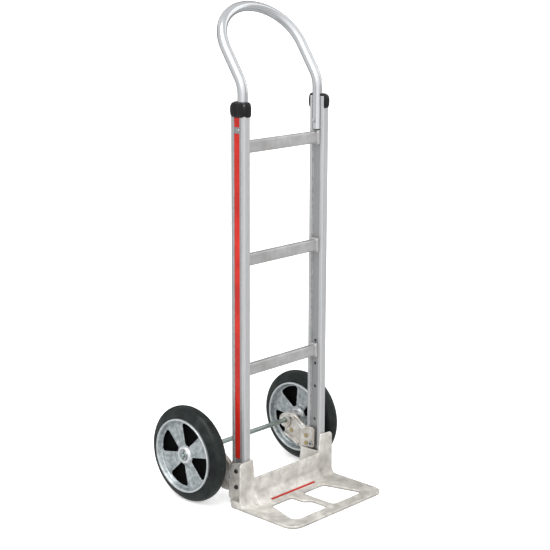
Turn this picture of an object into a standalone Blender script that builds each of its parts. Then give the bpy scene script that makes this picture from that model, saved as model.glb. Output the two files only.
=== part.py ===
"""Two-wheeled hand truck with a loop handle, modelled as an assembly of separate pieces.

Units are metres and +Z is up. The nose plate points towards -Y and the wheels stand at +Y.
Inside the truck's own frame X is the distance from the centre plane and Y the distance
behind the front faces of the rails. The root empty shifts that frame so that the world
origin lies on the floor, under the middle of the whole truck.
"""

import math

import bmesh
import bpy
from mathutils import Matrix, Vector

MM = 0.001
GAP = 0.3 * MM

# Overall layout
NOSE_REACH = 190.5 * MM
AXLE_BACK = 142.5 * MM
WHEEL_RADIUS = 127 * MM
TRUCK_DEPTH = NOSE_REACH + AXLE_BACK + WHEEL_RADIUS
FRAME_SHIFT = NOSE_REACH - TRUCK_DEPTH / 2

# Rails: an extrusion with an open channel on each side
RAIL_INNER = 132 * MM
RAIL_WIDTH = 21.5 * MM
RAIL_OUTER = RAIL_INNER + RAIL_WIDTH
RAIL_DEPTH = 48 * MM
RAIL_MIDDLE = RAIL_DEPTH / 2
RAIL_FOOT = 24 * MM
RAIL_TOP = 1029 * MM
CHANNEL_DEPTH = 5 * MM
CHANNEL_WIDTH = 26.6 * MM
STRIP_CHANNEL_DEPTH = 3.3 * MM
STRIP_CHANNEL_WIDTH = 18 * MM
STRIP_MIDDLE = 27 * MM
WEB_INNER = RAIL_INNER + CHANNEL_DEPTH
WEB_OUTER = RAIL_OUTER - STRIP_CHANNEL_DEPTH
BOLT_RADIUS = 3 * MM
BOLT_HOLE_RADIUS = 3.35 * MM
ACCESSORY_HOLE_RADIUS = 4 * MM
ACCESSORY_HOLE_HEIGHTS = (162 * MM, 254 * MM, 317.5 * MM, 381 * MM)

# Cross braces
BRACE_HEIGHTS = {"bottom": 356.5 * MM, "middle": 641.5 * MM, "top": 923.5 * MM}
BRACE_FRONT = 16 * MM
BRACE_SECTION_DEPTH = 13.6 * MM
BRACE_SECTION_HEIGHT = 30.5 * MM
PAD_INNER = 129 * MM
PAD_HEIGHT = 38 * MM
BRACE_BOLT_Y = 24.8 * MM

# Loop handle
TUBE_RADIUS = 12.7 * MM
TUBE_WALL = 2.2 * MM
LEG_X = 135 * MM
LEG_FOOT = 945 * MM
BEND_START = 1052 * MM
BEND_RADIUS = 70 * MM
BEND_ANGLE = math.radians(33.6)
STRAIGHT_AFTER_BEND = 80 * MM
ARCH_HEIGHT = 115 * MM
HANDLE_BOLT_HEIGHT = 966 * MM

# Nose casting
NOSE_HALF_WIDTH = 177 * MM
NOSE_THICKNESS = 7 * MM
UPRIGHT_FRONT = -5.5 * MM
NOSE_BOLT_HEIGHTS = {"lower": 52 * MM, "upper": 95 * MM}
OUTER_CHEEK = (RAIL_OUTER + GAP, RAIL_OUTER + 6.8 * MM)
INNER_CHEEK = (RAIL_INNER - 6.7 * MM, RAIL_INNER - GAP)

# Wheel bracket and axle
AXLE_RADIUS = 6.35 * MM
AXLE_HALF_LENGTH = 242 * MM
BOSS_RADIUS = 20 * MM
BOSS_INNER = 146 * MM
BOSS_OUTER = 181 * MM
BRACKET_WEB = (RAIL_INNER - 7.8 * MM, RAIL_INNER - GAP)
BRACKET_BOLT_HEIGHTS = {"lower": 92 * MM, "upper": 113 * MM}
BRACKET_BOLT_Y = 42.6 * MM
BRACKET_ARM = (152 * MM, 159 * MM)
ARM_RIB_INNER = 143 * MM
ARM_BOLT = (122 * MM, 102 * MM)
COTTER_X = 237.8 * MM
COTTER_RADIUS = 1.3 * MM
WASHER_RADIUS = 12.5 * MM
WASHER_THICKNESS = 1.6 * MM
RUNNING_CLEARANCE = 0.08 * MM

# Wheels, measured across the axle from the wheel's middle plane
WHEEL_X = 213 * MM
TYRE_HALF_WIDTH = 23 * MM
TYRE_ROUNDNESS = 2.2
RIM_RADIUS = 97 * MM
RIM_HALF_WIDTH = 28.5 * MM
HUB_BORE_RADIUS = 15.2 * MM
HUB_HALF_LENGTH = 21 * MM
BEARING_RADIUS = 14.9 * MM
BEARING_LENGTH = 12 * MM
DISC_OUTER = 16 * MM
DISC_INNER = -14 * MM
WEB_FACES = (0.5 * MM, 3.5 * MM)
POCKET_COUNT = 4
POCKET_FIRST_ANGLES = {"left": math.radians(17), "right": math.radians(65)}

# Facets round a full turn; the even fine surface is not needed on these working solids
WHEEL_FACETS = 36
SHAFT_FACETS = 24
WASHER_FACETS = 16
BOLT_FACETS = 8
TUBE_FACETS = 12

SIDES = {"left": -1, "right": 1}

MATERIALS = {
    "rail_aluminium": ((0.64, 0.65, 0.66), 0.34, 0.95),
    "brace_aluminium": ((0.62, 0.61, 0.60), 0.42, 0.9),
    "handle_aluminium": ((0.72, 0.74, 0.76), 0.24, 1.0),
    "cast_nose": ((0.52, 0.49, 0.46), 0.55, 0.85),
    "cast_bracket": ((0.60, 0.58, 0.54), 0.5, 0.85),
    "cast_hub": ((0.50, 0.53, 0.55), 0.42, 0.85),
    "black_rubber": ((0.012, 0.012, 0.013), 0.4, 0.0),
    "tyre_rubber": ((0.035, 0.043, 0.042), 0.6, 0.0),
    "red_vinyl": ((0.62, 0.025, 0.012), 0.35, 0.0),
    "axle_zinc": ((0.40, 0.46, 0.44), 0.35, 0.9),
    "yellow_zinc": ((0.55, 0.47, 0.25), 0.35, 0.9),
    "steel": ((0.45, 0.46, 0.47), 0.35, 0.95),
    "bearing_steel": ((0.55, 0.56, 0.58), 0.25, 1.0),
}


# ---------------------------------------------------------------- helpers


def clear_scene():
    for obj in list(bpy.data.objects):
        bpy.data.objects.remove(obj)


def material(name):
    """The named Principled material, made on first use."""
    found = bpy.data.materials.get(name)
    if found:
        return found
    colour, roughness, metallic = MATERIALS[name]
    made = bpy.data.materials.new(name)
    made.use_nodes = True
    shader = made.node_tree.nodes["Principled BSDF"]
    shader.inputs["Base Color"].default_value = (*colour, 1)
    shader.inputs["Roughness"].default_value = roughness
    shader.inputs["Metallic"].default_value = metallic
    return made


def empty(name, location, parent=None):
    made = bpy.data.objects.new(name, None)
    made.location = location
    made.parent = parent
    bpy.context.scene.collection.objects.link(made)
    return made


def solid(name, bm, material_name="steel", parent=None, location=(0, 0, 0)):
    """Turn a bmesh into an object whose faces point outwards."""
    bmesh.ops.recalc_face_normals(bm, faces=bm.faces)
    mesh = bpy.data.meshes.new(name)
    bm.to_mesh(mesh)
    bm.free()
    mesh.materials.append(material(material_name))
    made = bpy.data.objects.new(name, mesh)
    made.location = location
    made.parent = parent
    bpy.context.scene.collection.objects.link(made)
    smooth(made)
    return made


def smooth(obj, angle=35):
    obj.data.shade_smooth()
    obj.data.set_sharp_from_angle(angle=math.radians(angle))


def combine(target, tool, operation):
    """Apply a Boolean with a tool object, placed in the target's own frame, and remove the tool."""
    tool.parent = target.parent
    modifier = target.modifiers.new(operation.lower(), "BOOLEAN")
    modifier.operation = operation
    modifier.object = tool
    bpy.context.view_layer.update()
    graph = bpy.context.evaluated_depsgraph_get()
    mesh = bpy.data.meshes.new_from_object(target.evaluated_get(graph))
    target.modifiers.clear()
    target.data = mesh
    bpy.data.objects.remove(tool)
    smooth(target)


def cut(target, *tools):
    for tool in tools:
        combine(target, tool, "DIFFERENCE")


def join(target, *tools):
    for tool in tools:
        combine(target, tool, "UNION")


def rounded(corners, steps=4):
    """An outline from (u, v, radius) corners, each rounded by an arc of that radius."""
    outline = []
    count = len(corners)
    for index, (u, v, radius) in enumerate(corners):
        corner = Vector((u, v))
        if radius <= 0:
            outline.append(corner)
            continue
        before = (Vector(corners[index - 1][:2]) - corner).normalized()
        after = (Vector(corners[(index + 1) % count][:2]) - corner).normalized()
        half_angle = before.angle(after) / 2
        centre = corner + (before + after).normalized() * radius / math.sin(half_angle)
        start = corner + before * radius / math.tan(half_angle) - centre
        end = corner + after * radius / math.tan(half_angle) - centre
        turn = math.atan2(start.x * end.y - start.y * end.x, start.dot(end))
        for step in range(steps + 1):
            outline.append(centre + start_turned(start, turn * step / steps))
    return outline


def start_turned(vector, angle):
    cosine = math.cos(angle)
    sine = math.sin(angle)
    return Vector((vector.x * cosine - vector.y * sine, vector.x * sine + vector.y * cosine))


def circle(radius, count=20, centre=(0, 0)):
    middle = Vector(centre)
    start = Vector((radius, 0))
    return [middle + start_turned(start, 2 * math.pi * step / count) for step in range(count)]


# Each frame maps an outline's (u, v) and the extrusion to the axes named, in that order.
PLANES = {
    "XYZ": Matrix.Identity(3),
    "YZX": Matrix(((0, 0, 1), (1, 0, 0), (0, 1, 0))),
    "XZY": Matrix(((1, 0, 0), (0, 0, 1), (0, 1, 0))),
}


def prism_mesh(outline, low, high, plane="XYZ", holes=()):
    """A closed prism over an outline, with holes through it, from low to high along the third axis."""
    bm = bmesh.new()
    edges = []
    for loop in (outline, *holes):
        verts = [bm.verts.new((*point, low)) for point in loop]
        for index, vert in enumerate(verts):
            edges.append(bm.edges.new((verts[index - 1], vert)))
    bmesh.ops.triangle_fill(bm, edges=edges, use_beauty=True)
    result = bmesh.ops.extrude_face_region(bm, geom=bm.faces[:])
    raised = [item for item in result["geom"] if isinstance(item, bmesh.types.BMVert)]
    bmesh.ops.translate(bm, verts=raised, vec=(0, 0, high - low))
    bmesh.ops.transform(bm, matrix=PLANES[plane].to_4x4(), verts=bm.verts)
    return bm


def prism(name, outline, low, high, plane="XYZ", holes=(), **options):
    return solid(name, prism_mesh(outline, low, high, plane, holes), **options)


def rod_tool(radius, low, high, axis="X", centre=(0, 0), count=20):
    """A temporary cylinder along X, Y or Z, for a union or a cut."""
    plane = {"X": "YZX", "Y": "XZY", "Z": "XYZ"}[axis]
    return prism("tool", circle(radius, count, centre), low, high, plane)


def turned(profile, count):
    """A solid of revolution about X from a closed profile of (x, radius) points."""
    bm = bmesh.new()
    verts = [bm.verts.new((x, radius, 0)) for x, radius in profile]
    for index, vert in enumerate(verts):
        before = verts[index - 1]
        if before.co.y > 0 or vert.co.y > 0:
            bm.edges.new((before, vert))
    geometry = bm.verts[:] + bm.edges[:]
    bmesh.ops.spin(bm, geom=geometry, axis=(1, 0, 0), cent=(0, 0, 0), steps=count, angle=2 * math.pi)
    bmesh.ops.remove_doubles(bm, verts=bm.verts, dist=1e-6)
    return bm


def ordered(side, low, high):
    """A span on the positive side carried to the given side, lower end first."""
    return sorted((side * low, side * high))


# ---------------------------------------------------------------- rails and strips


def rail(name, side, parent):
    """One extruded side rail, hollow between its two webs, with its bolt holes."""
    half_channel = CHANNEL_WIDTH / 2
    half_strip = STRIP_CHANNEL_WIDTH / 2
    bead = 4.5 * MM
    lip = 1.2 * MM
    corners = [
        (RAIL_INNER, 0, bead),
        (RAIL_OUTER, 0, bead),
        (RAIL_OUTER, STRIP_MIDDLE - half_strip, lip),
        (WEB_OUTER, STRIP_MIDDLE - half_strip, 0),
        (WEB_OUTER, STRIP_MIDDLE + half_strip, 0),
        (RAIL_OUTER, STRIP_MIDDLE + half_strip, lip),
        (RAIL_OUTER, RAIL_DEPTH, bead),
        (RAIL_INNER, RAIL_DEPTH, bead),
        (RAIL_INNER, RAIL_MIDDLE + half_channel, lip),
        (WEB_INNER, RAIL_MIDDLE + half_channel, 0),
        (WEB_INNER, RAIL_MIDDLE - half_channel, 0),
        (RAIL_INNER, RAIL_MIDDLE - half_channel, lip),
    ]
    web_wall = 2.8 * MM
    half_cavity = 13.5 * MM
    cavity = [
        (WEB_INNER + web_wall, RAIL_MIDDLE - half_cavity),
        (WEB_OUTER - web_wall, RAIL_MIDDLE - half_cavity),
        (WEB_OUTER - web_wall, RAIL_MIDDLE + half_cavity),
        (WEB_INNER + web_wall, RAIL_MIDDLE + half_cavity),
    ]
    outline = [Vector((side * u, v)) for u, v in rounded(corners, 3)]
    opening = [Vector((side * u, v)) for u, v in cavity]
    made = prism(
        name, outline, RAIL_FOOT, RAIL_TOP, holes=[opening], material_name="rail_aluminium", parent=parent
    )
    low, high = ordered(side, RAIL_INNER - 5 * MM, RAIL_OUTER + 5 * MM)
    bolt_holes = [(RAIL_MIDDLE, HANDLE_BOLT_HEIGHT)]
    bolt_holes += [(BRACE_BOLT_Y, height) for height in BRACE_HEIGHTS.values()]
    bolt_holes += [(RAIL_MIDDLE, height) for height in NOSE_BOLT_HEIGHTS.values()]
    bolt_holes += [(BRACKET_BOLT_Y, height) for height in BRACKET_BOLT_HEIGHTS.values()]
    for centre in bolt_holes:
        cut(made, rod_tool(BOLT_HOLE_RADIUS, low, high, centre=centre, count=BOLT_FACETS))
    low, high = ordered(side, RAIL_INNER - 5 * MM, WEB_INNER + web_wall + 2 * MM)
    for height in ACCESSORY_HOLE_HEIGHTS:
        cut(made, rod_tool(ACCESSORY_HOLE_RADIUS, low, high, centre=(RAIL_MIDDLE, height), count=12))
    return made


def strip(name, side, foot, top, parent):
    """A domed trim strip that lies in the rail's outer channel."""
    half_width = STRIP_CHANNEL_WIDTH / 2 - GAP
    back = WEB_OUTER + GAP
    shoulder = RAIL_OUTER - 1.1 * MM
    crown = RAIL_OUTER - 0.1 * MM
    steps = 6
    outline = [Vector((side * back, STRIP_MIDDLE + edge)) for edge in (half_width, -half_width)]
    for step in range(steps + 1):
        share = 2 * step / steps - 1
        height = shoulder + (crown - shoulder) * (1 - share**2)
        outline.append(Vector((side * height, STRIP_MIDDLE + share * half_width)))
    return prism(name, outline, foot, top, material_name="red_vinyl", parent=parent)


def rail_cap(name, side, parent):
    """A rubber horseshoe cap over the rail's end, open on the inner side for the handle leg."""
    foot = 998 * MM
    top = 1034.5 * MM
    wall = 4.2 * MM
    outer = [
        (RAIL_INNER, -wall, 3 * MM),
        (RAIL_OUTER + wall, -wall, 10 * MM),
        (RAIL_OUTER + wall, RAIL_DEPTH + wall, 10 * MM),
        (RAIL_INNER, RAIL_DEPTH + wall, 3 * MM),
    ]
    outline = [Vector((side * u, v)) for u, v in rounded(outer, 4)]
    bm = prism_mesh(outline, foot, top)
    rims = [edge for edge in bm.edges if len(edge.link_faces) == 2 and edge.calc_face_angle() > 1.2]
    bmesh.ops.bevel(bm, geom=rims, offset=2.5 * MM, segments=2, affect="EDGES", profile=0.5)
    made = solid(name, bm, "black_rubber", parent)
    socket = [
        (RAIL_INNER - 5 * MM, -GAP, 0),
        (RAIL_OUTER + GAP, -GAP, 4.5 * MM),
        (RAIL_OUTER + GAP, RAIL_DEPTH + GAP, 4.5 * MM),
        (RAIL_INNER - 5 * MM, RAIL_DEPTH + GAP, 0),
    ]
    socket_outline = [Vector((side * u, v)) for u, v in rounded(socket, 3)]
    leg_room = TUBE_RADIUS + 0.6 * MM
    mouth = [
        Vector((side * (RAIL_INNER - 20 * MM), RAIL_MIDDLE - leg_room)),
        Vector((side * LEG_X, RAIL_MIDDLE - leg_room)),
        Vector((side * LEG_X, RAIL_MIDDLE + leg_room)),
        Vector((side * (RAIL_INNER - 20 * MM), RAIL_MIDDLE + leg_room)),
    ]
    cut(made, prism("tool", socket_outline, foot - 5 * MM, RAIL_TOP + GAP))
    cut(made, prism("tool", mouth, foot - 6 * MM, top + 6 * MM))
    leg_hole = rod_tool(leg_room, foot - 7 * MM, top + 7 * MM, "Z", (side * LEG_X, RAIL_MIDDLE), 24)
    cut(made, leg_hole)
    return made


# ---------------------------------------------------------------- cross braces


def brace(name, height, parent):
    """A cast cross brace: a channel bar, open to the rear, with a pad in each rail's channel."""
    half = BRACE_SECTION_HEIGHT / 2
    wall = 3 * MM
    back = BRACE_FRONT + BRACE_SECTION_DEPTH
    section = [
        (BRACE_FRONT, -half, 3.5 * MM),
        (back, -half, 1 * MM),
        (back, -half + wall, 0.8 * MM),
        (BRACE_FRONT + wall, -half + wall, 2 * MM),
        (BRACE_FRONT + wall, half - wall, 2 * MM),
        (back, half - wall, 0.8 * MM),
        (back, half, 1 * MM),
        (BRACE_FRONT, half, 3.5 * MM),
    ]
    reach = PAD_INNER + 1 * MM
    made = prism(
        name,
        rounded(section, 2),
        -reach,
        reach,
        "YZX",
        material_name="brace_aluminium",
        parent=parent,
        location=(0, 0, height),
    )
    half_width = CHANNEL_WIDTH / 2 - GAP
    pad = [
        (RAIL_MIDDLE - half_width, -PAD_HEIGHT / 2, 3 * MM),
        (RAIL_MIDDLE + half_width, -PAD_HEIGHT / 2, 3 * MM),
        (RAIL_MIDDLE + half_width, PAD_HEIGHT / 2, 3 * MM),
        (RAIL_MIDDLE - half_width, PAD_HEIGHT / 2, 3 * MM),
    ]
    for side in SIDES.values():
        low, high = ordered(side, PAD_INNER, WEB_INNER - GAP)
        join(made, prism("tool", rounded(pad, 3), low, high, "YZX", location=(0, 0, height)))
        low, high = ordered(side, PAD_INNER - 5 * MM, WEB_INNER + 5 * MM)
        hole = rod_tool(BOLT_HOLE_RADIUS, low, high, centre=(BRACE_BOLT_Y, 0), count=BOLT_FACETS)
        hole.location = (0, 0, height)
        cut(made, hole)
    return made


# ---------------------------------------------------------------- loop handle


def handle_path():
    """The centreline of the loop, from one leg's foot over the arch to the other's."""
    points = [Vector((-LEG_X, RAIL_MIDDLE, LEG_FOOT)), Vector((-LEG_X, RAIL_MIDDLE, BEND_START))]
    bend_steps = 4
    for step in range(1, bend_steps + 1):
        angle = BEND_ANGLE * step / bend_steps
        back = BEND_RADIUS * (1 - math.cos(angle))
        up = BEND_RADIUS * math.sin(angle)
        points.append(Vector((-LEG_X, RAIL_MIDDLE + back, BEND_START + up)))
    slope = Vector((0, math.sin(BEND_ANGLE), math.cos(BEND_ANGLE)))
    springing = points[-1] + slope * STRAIGHT_AFTER_BEND
    arch_steps = 18
    for step in range(arch_steps + 1):
        angle = math.pi * (1 - step / arch_steps)
        rise = slope * ARCH_HEIGHT * math.sin(angle)
        points.append(Vector((LEG_X * math.cos(angle), springing.y, springing.z)) + rise)
    mirrored = [Vector((-point.x, point.y, point.z)) for point in reversed(points[: 2 + bend_steps])]
    return points + mirrored


def tube_along(path, radius, count):
    """A round bar swept along a path whose sections stay square to it."""
    bm = bmesh.new()
    rings = []
    for index, point in enumerate(path):
        ahead = path[min(index + 1, len(path) - 1)]
        behind = path[max(index - 1, 0)]
        tangent = (ahead - point).normalized() + (point - behind).normalized()
        tangent.normalize()
        up = Vector((0, math.cos(BEND_ANGLE / 2), -math.sin(BEND_ANGLE / 2)))
        across_bar = tangent.cross(up).normalized()
        up = across_bar.cross(tangent)
        ring = []
        for step in range(count):
            angle = 2 * math.pi * (step + 0.5) / count
            offset = across_bar * math.cos(angle) + up * math.sin(angle)
            ring.append(bm.verts.new(point + offset * radius))
        rings.append(ring)
    for first, second in zip(rings, rings[1:]):
        for index in range(count):
            bm.faces.new((first[index - 1], first[index], second[index], second[index - 1]))
    bm.faces.new(rings[0])
    bm.faces.new(rings[-1])
    return bm


def loop_handle(parent):
    """The bent tube; each leg is milled open on its outer side where it seats on the rail."""
    path = handle_path()
    made = solid("loop_handle", tube_along(path, TUBE_RADIUS, TUBE_FACETS), "handle_aluminium", parent)
    drop = Vector((0, 0, 5 * MM))
    bore_path = [path[0] - drop] + path[1:-1] + [path[-1] - drop]
    cut(made, solid("tool", tube_along(bore_path, TUBE_RADIUS - TUBE_WALL, TUBE_FACETS)))
    for side in SIDES.values():
        low, high = ordered(side, WEB_INNER - GAP, LEG_X + 2 * TUBE_RADIUS)
        slab = [
            Vector((low, RAIL_MIDDLE - 20 * MM)),
            Vector((high, RAIL_MIDDLE - 20 * MM)),
            Vector((high, RAIL_MIDDLE + 20 * MM)),
            Vector((low, RAIL_MIDDLE + 20 * MM)),
        ]
        cut(made, prism("tool", slab, LEG_FOOT - 10 * MM, RAIL_TOP + GAP))
        low, high = ordered(side, LEG_X - 2 * TUBE_RADIUS, LEG_X + TUBE_RADIUS)
        centre = (RAIL_MIDDLE, HANDLE_BOLT_HEIGHT)
        cut(made, rod_tool(BOLT_HOLE_RADIUS, low, high, centre=centre, count=BOLT_FACETS))
    return made


# ---------------------------------------------------------------- nose casting


def nose_window(side):
    """One of the two openings in the toe plate; the left one has a lobe beside the centre web."""
    front = -156 * MM
    rear = -45 * MM
    if side > 0:
        corners = [
            (12 * MM, front, 10 * MM),
            (131 * MM, front, 15 * MM),
            (97 * MM, rear, 10 * MM),
            (12 * MM, rear, 9 * MM),
        ]
    else:
        corners = [
            (-8 * MM, front, 10 * MM),
            (-137 * MM, front, 16 * MM),
            (-104 * MM, rear, 10 * MM),
            (-28 * MM, rear, 8 * MM),
            (-26 * MM, -84 * MM, 12 * MM),
            (-8 * MM, -100 * MM, 10 * MM),
        ]
    return rounded(corners, 3)


def toe_plate_outline():
    front = -NOSE_REACH
    back = 34 * MM
    notch = 9 * MM
    inner = 116 * MM
    corners = [
        (-NOSE_HALF_WIDTH, front, 34 * MM),
        (NOSE_HALF_WIDTH, front, 34 * MM),
        (NOSE_HALF_WIDTH, back, 12 * MM),
        (inner, back, 3 * MM),
        (inner, notch, 6 * MM),
        (-inner, notch, 6 * MM),
        (-inner, back, 3 * MM),
        (-NOSE_HALF_WIDTH, back, 12 * MM),
    ]
    return rounded(corners, 5)


def nose_plate(parent):
    """The cast toe plate with its back wall and the two sockets that hold the rails."""
    windows = [nose_window(side) for side in SIDES.values()]
    made = prism(
        "nose_plate",
        toe_plate_outline(),
        0,
        NOSE_THICKNESS,
        holes=windows,
        material_name="cast_nose",
        parent=parent,
    )
    back_wall = [
        (-40 * MM, 5 * MM, 0),
        (-16 * MM, 13 * MM, 10 * MM),
        (-6 * MM, 30 * MM, 8 * MM),
        (-4.5 * MM, 73 * MM, 2.5 * MM),
        (2.5 * MM, 73 * MM, 2.5 * MM),
        (5 * MM, 5 * MM, 0),
    ]
    reach = 124 * MM
    join(made, prism("tool", rounded(back_wall, 4), -reach, reach, "YZX"))
    for side in SIDES.values():
        join(made, *rail_socket(side))
        low, high = ordered(side, INNER_CHEEK[0] - 5 * MM, OUTER_CHEEK[1] + 5 * MM)
        for height in NOSE_BOLT_HEIGHTS.values():
            hole = rod_tool(BOLT_HOLE_RADIUS, low, high, centre=(RAIL_MIDDLE, height), count=BOLT_FACETS)
            cut(made, hole)
    return made


def rail_socket(side):
    """The upright face, two cheeks, rear wall, foot and base fillet that grip one rail."""
    face = [
        (119 * MM, 4 * MM, 0),
        (176.5 * MM, 4 * MM, 0),
        (176 * MM, 124 * MM, 11 * MM),
        (129 * MM, 127 * MM, 5 * MM),
        (122 * MM, 60 * MM, 20 * MM),
    ]
    face = [Vector((side * u, v)) for u, v in rounded(face, 4)]
    outer_cheek = [
        (-5 * MM, 4 * MM, 0),
        (47 * MM, 4 * MM, 0),
        (47 * MM, 108 * MM, 9 * MM),
        (16 * MM, 119 * MM, 8 * MM),
        (-5 * MM, 120 * MM, 0),
    ]
    inner_cheek = [
        (-5 * MM, 4 * MM, 0),
        (46 * MM, 4 * MM, 0),
        (69 * MM, 36 * MM, 12 * MM),
        (62 * MM, 78 * MM, 6 * MM),
        (-5 * MM, 79 * MM, 0),
    ]
    foot = [
        (INNER_CHEEK[0] + 1 * MM, -4 * MM, 0),
        (176 * MM, -4 * MM, 0),
        (176 * MM, 33 * MM, 11 * MM),
        (INNER_CHEEK[0] + 1 * MM, 33 * MM, 0),
    ]
    foot = [Vector((side * u, v)) for u, v in rounded(foot, 4)]
    fillet = [
        (-19 * MM, 6 * MM, 0),
        (-11 * MM, 9.5 * MM, 12 * MM),
        (-5 * MM, 22 * MM, 0),
        (-2 * MM, 6 * MM, 0),
    ]
    rear = RAIL_DEPTH + GAP
    rear_wall = [
        (INNER_CHEEK[0] + 1 * MM, rear, 0),
        (OUTER_CHEEK[1], rear, 0),
        (OUTER_CHEEK[1], rear + 6 * MM, 3 * MM),
        (INNER_CHEEK[0] + 1 * MM, rear + 6 * MM, 0),
    ]
    rear_wall = [Vector((side * u, v)) for u, v in rounded(rear_wall, 3)]
    corner_low = OUTER_CHEEK[0] + 0.5 * MM
    corner_high = OUTER_CHEEK[1]
    corner_block = [
        Vector((side * corner_low, 40 * MM)),
        Vector((side * corner_high, 40 * MM)),
        Vector((side * corner_high, 52 * MM)),
        Vector((side * corner_low, 52 * MM)),
    ]
    low, high = ordered(side, 120 * MM, 176.3 * MM)
    return (
        prism("tool", face, UPRIGHT_FRONT, -GAP, "XZY"),
        prism("tool", rounded(outer_cheek, 4), *ordered(side, *OUTER_CHEEK), "YZX"),
        prism("tool", rounded(inner_cheek, 4), *ordered(side, *INNER_CHEEK), "YZX"),
        prism("tool", foot, 3 * MM, RAIL_FOOT - 4 * MM),
        prism("tool", rear_wall, 16 * MM, 70 * MM),
        prism("tool", corner_block, 16.5 * MM, 69.5 * MM),
        prism("tool", rounded(fillet, 4), low, high, "YZX"),
    )


def nose_stripe(parent):
    """A plain painted stripe on the ramp in front of the back wall."""
    start = Vector((-40 * MM, 5 * MM))
    end = Vector((-16 * MM, 13 * MM))
    along = (end - start).normalized()
    normal = Vector((-along.y, along.x))
    low = start + along * 12.5 * MM + normal * GAP
    high = start + along * 18.5 * MM + normal * GAP
    outline = [low, high, high + normal * 0.5 * MM, low + normal * 0.5 * MM]
    return prism("nose_stripe", outline, -82 * MM, 84 * MM, "YZX", material_name="red_vinyl", parent=parent)


# ---------------------------------------------------------------- wheel brackets and axle


def wheel_bracket(name, side, parent):
    """A casting behind the rail: an inner web, a saddle and a ribbed arm with the axle boss."""
    rear = RAIL_DEPTH + GAP
    inner_web = [
        (16 * MM, 84 * MM, 6 * MM),
        (64 * MM, 82 * MM, 5 * MM),
        (64 * MM, 118 * MM, 10 * MM),
        (44 * MM, 139 * MM, 10 * MM),
        (16 * MM, 139 * MM, 8 * MM),
    ]
    low, high = ordered(side, *BRACKET_WEB)
    outline = rounded(inner_web, 4)
    made = prism(name, outline, low, high, "YZX", material_name="cast_bracket", parent=parent)
    arm = [
        (rear + 1 * MM, 73.5 * MM, 0),
        (rear + 6.8 * MM, 73.5 * MM, 0),
        (rear + 6.8 * MM, 34 * MM, 5 * MM),
        (84 * MM, 33 * MM, 12 * MM),
        (90 * MM, 64 * MM, 10 * MM),
        (112 * MM, 77 * MM, 14 * MM),
        (146 * MM, 88 * MM, 8 * MM),
        (AXLE_BACK + 8 * MM, WHEEL_RADIUS + 12 * MM, 4 * MM),
        (AXLE_BACK - 4 * MM, WHEEL_RADIUS + 21 * MM, 10 * MM),
        (112 * MM, 150 * MM, 14 * MM),
        (rear + 1 * MM, 108 * MM, 0),
    ]
    lower_rib = [
        (93 * MM, 66.5 * MM, 0),
        (112 * MM, 77.7 * MM, 10 * MM),
        (145 * MM, 88.5 * MM, 2 * MM),
        (146 * MM, 94 * MM, 2 * MM),
        (110 * MM, 83 * MM, 10 * MM),
        (92 * MM, 72 * MM, 0),
    ]
    upper_rib = [
        (58 * MM, 108.7 * MM, 0),
        (112 * MM, 148.2 * MM, 8 * MM),
        (136 * MM, 146.8 * MM, 0),
        (136 * MM, 141 * MM, 0),
        (114 * MM, 142.5 * MM, 6 * MM),
        (62 * MM, 104.5 * MM, 0),
    ]
    join(made, prism("tool", rounded(arm, 4), *ordered(side, *BRACKET_ARM), "YZX"))
    low, high = ordered(side, ARM_RIB_INNER, BRACKET_ARM[0] + 1 * MM)
    for rib in (lower_rib, upper_rib):
        join(made, prism("tool", rounded(rib, 3), low, high, "YZX"))
    saddle = [
        (INNER_CHEEK[0] + 1 * MM, 82.5 * MM, 0),
        (158.5 * MM, 74.5 * MM, 0),
        (158.5 * MM, 106 * MM, 4 * MM),
        (INNER_CHEEK[0] + 1 * MM, 117 * MM, 4 * MM),
    ]
    saddle = [Vector((side * u, v)) for u, v in rounded(saddle, 3)]
    join(made, prism("tool", saddle, rear, rear + 7 * MM, "XZY"))
    centre = (AXLE_BACK, WHEEL_RADIUS)
    low, high = ordered(side, BOSS_INNER, BOSS_OUTER)
    join(made, rod_tool(BOSS_RADIUS, low, high, centre=centre, count=SHAFT_FACETS))
    low, high = ordered(side, BOSS_INNER - 5 * MM, BOSS_OUTER + 5 * MM)
    cut(made, rod_tool(AXLE_RADIUS + GAP, low, high, centre=centre, count=SHAFT_FACETS))
    low, high = ordered(side, BRACKET_WEB[0] - 5 * MM, BRACKET_WEB[1] + 5 * MM)
    bolt_holes = [(BRACKET_BOLT_Y, height) for height in BRACKET_BOLT_HEIGHTS.values()]
    bolt_holes.append((RAIL_MIDDLE, NOSE_BOLT_HEIGHTS["upper"]))
    for bolt_centre in bolt_holes:
        cut(made, rod_tool(BOLT_HOLE_RADIUS, low, high, centre=bolt_centre, count=BOLT_FACETS))
    low, high = ordered(side, BRACKET_ARM[0] - 3 * MM, BRACKET_ARM[1] + 5 * MM)
    cut(made, rod_tool(BOLT_HOLE_RADIUS, low, high, centre=ARM_BOLT, count=BOLT_FACETS))
    return made


def axle(parent):
    """The plain zinc-plated rod that both wheels turn on, with a cotter hole at each end."""
    end = AXLE_HALF_LENGTH
    chamfer = 1 * MM
    profile = [
        (-end, 0),
        (-end, AXLE_RADIUS - chamfer),
        (-end + chamfer, AXLE_RADIUS),
        (end - chamfer, AXLE_RADIUS),
        (end, AXLE_RADIUS - chamfer),
        (end, 0),
    ]
    made = solid("axle", turned(profile, SHAFT_FACETS), "axle_zinc", parent, (0, AXLE_BACK, WHEEL_RADIUS))
    for side in SIDES.values():
        hole = rod_tool(COTTER_RADIUS + GAP, -AXLE_RADIUS * 2, AXLE_RADIUS * 2, "Z", (side * COTTER_X, 0), 10)
        hole.location = (0, AXLE_BACK, WHEEL_RADIUS)
        cut(made, hole)
    return made


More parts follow.
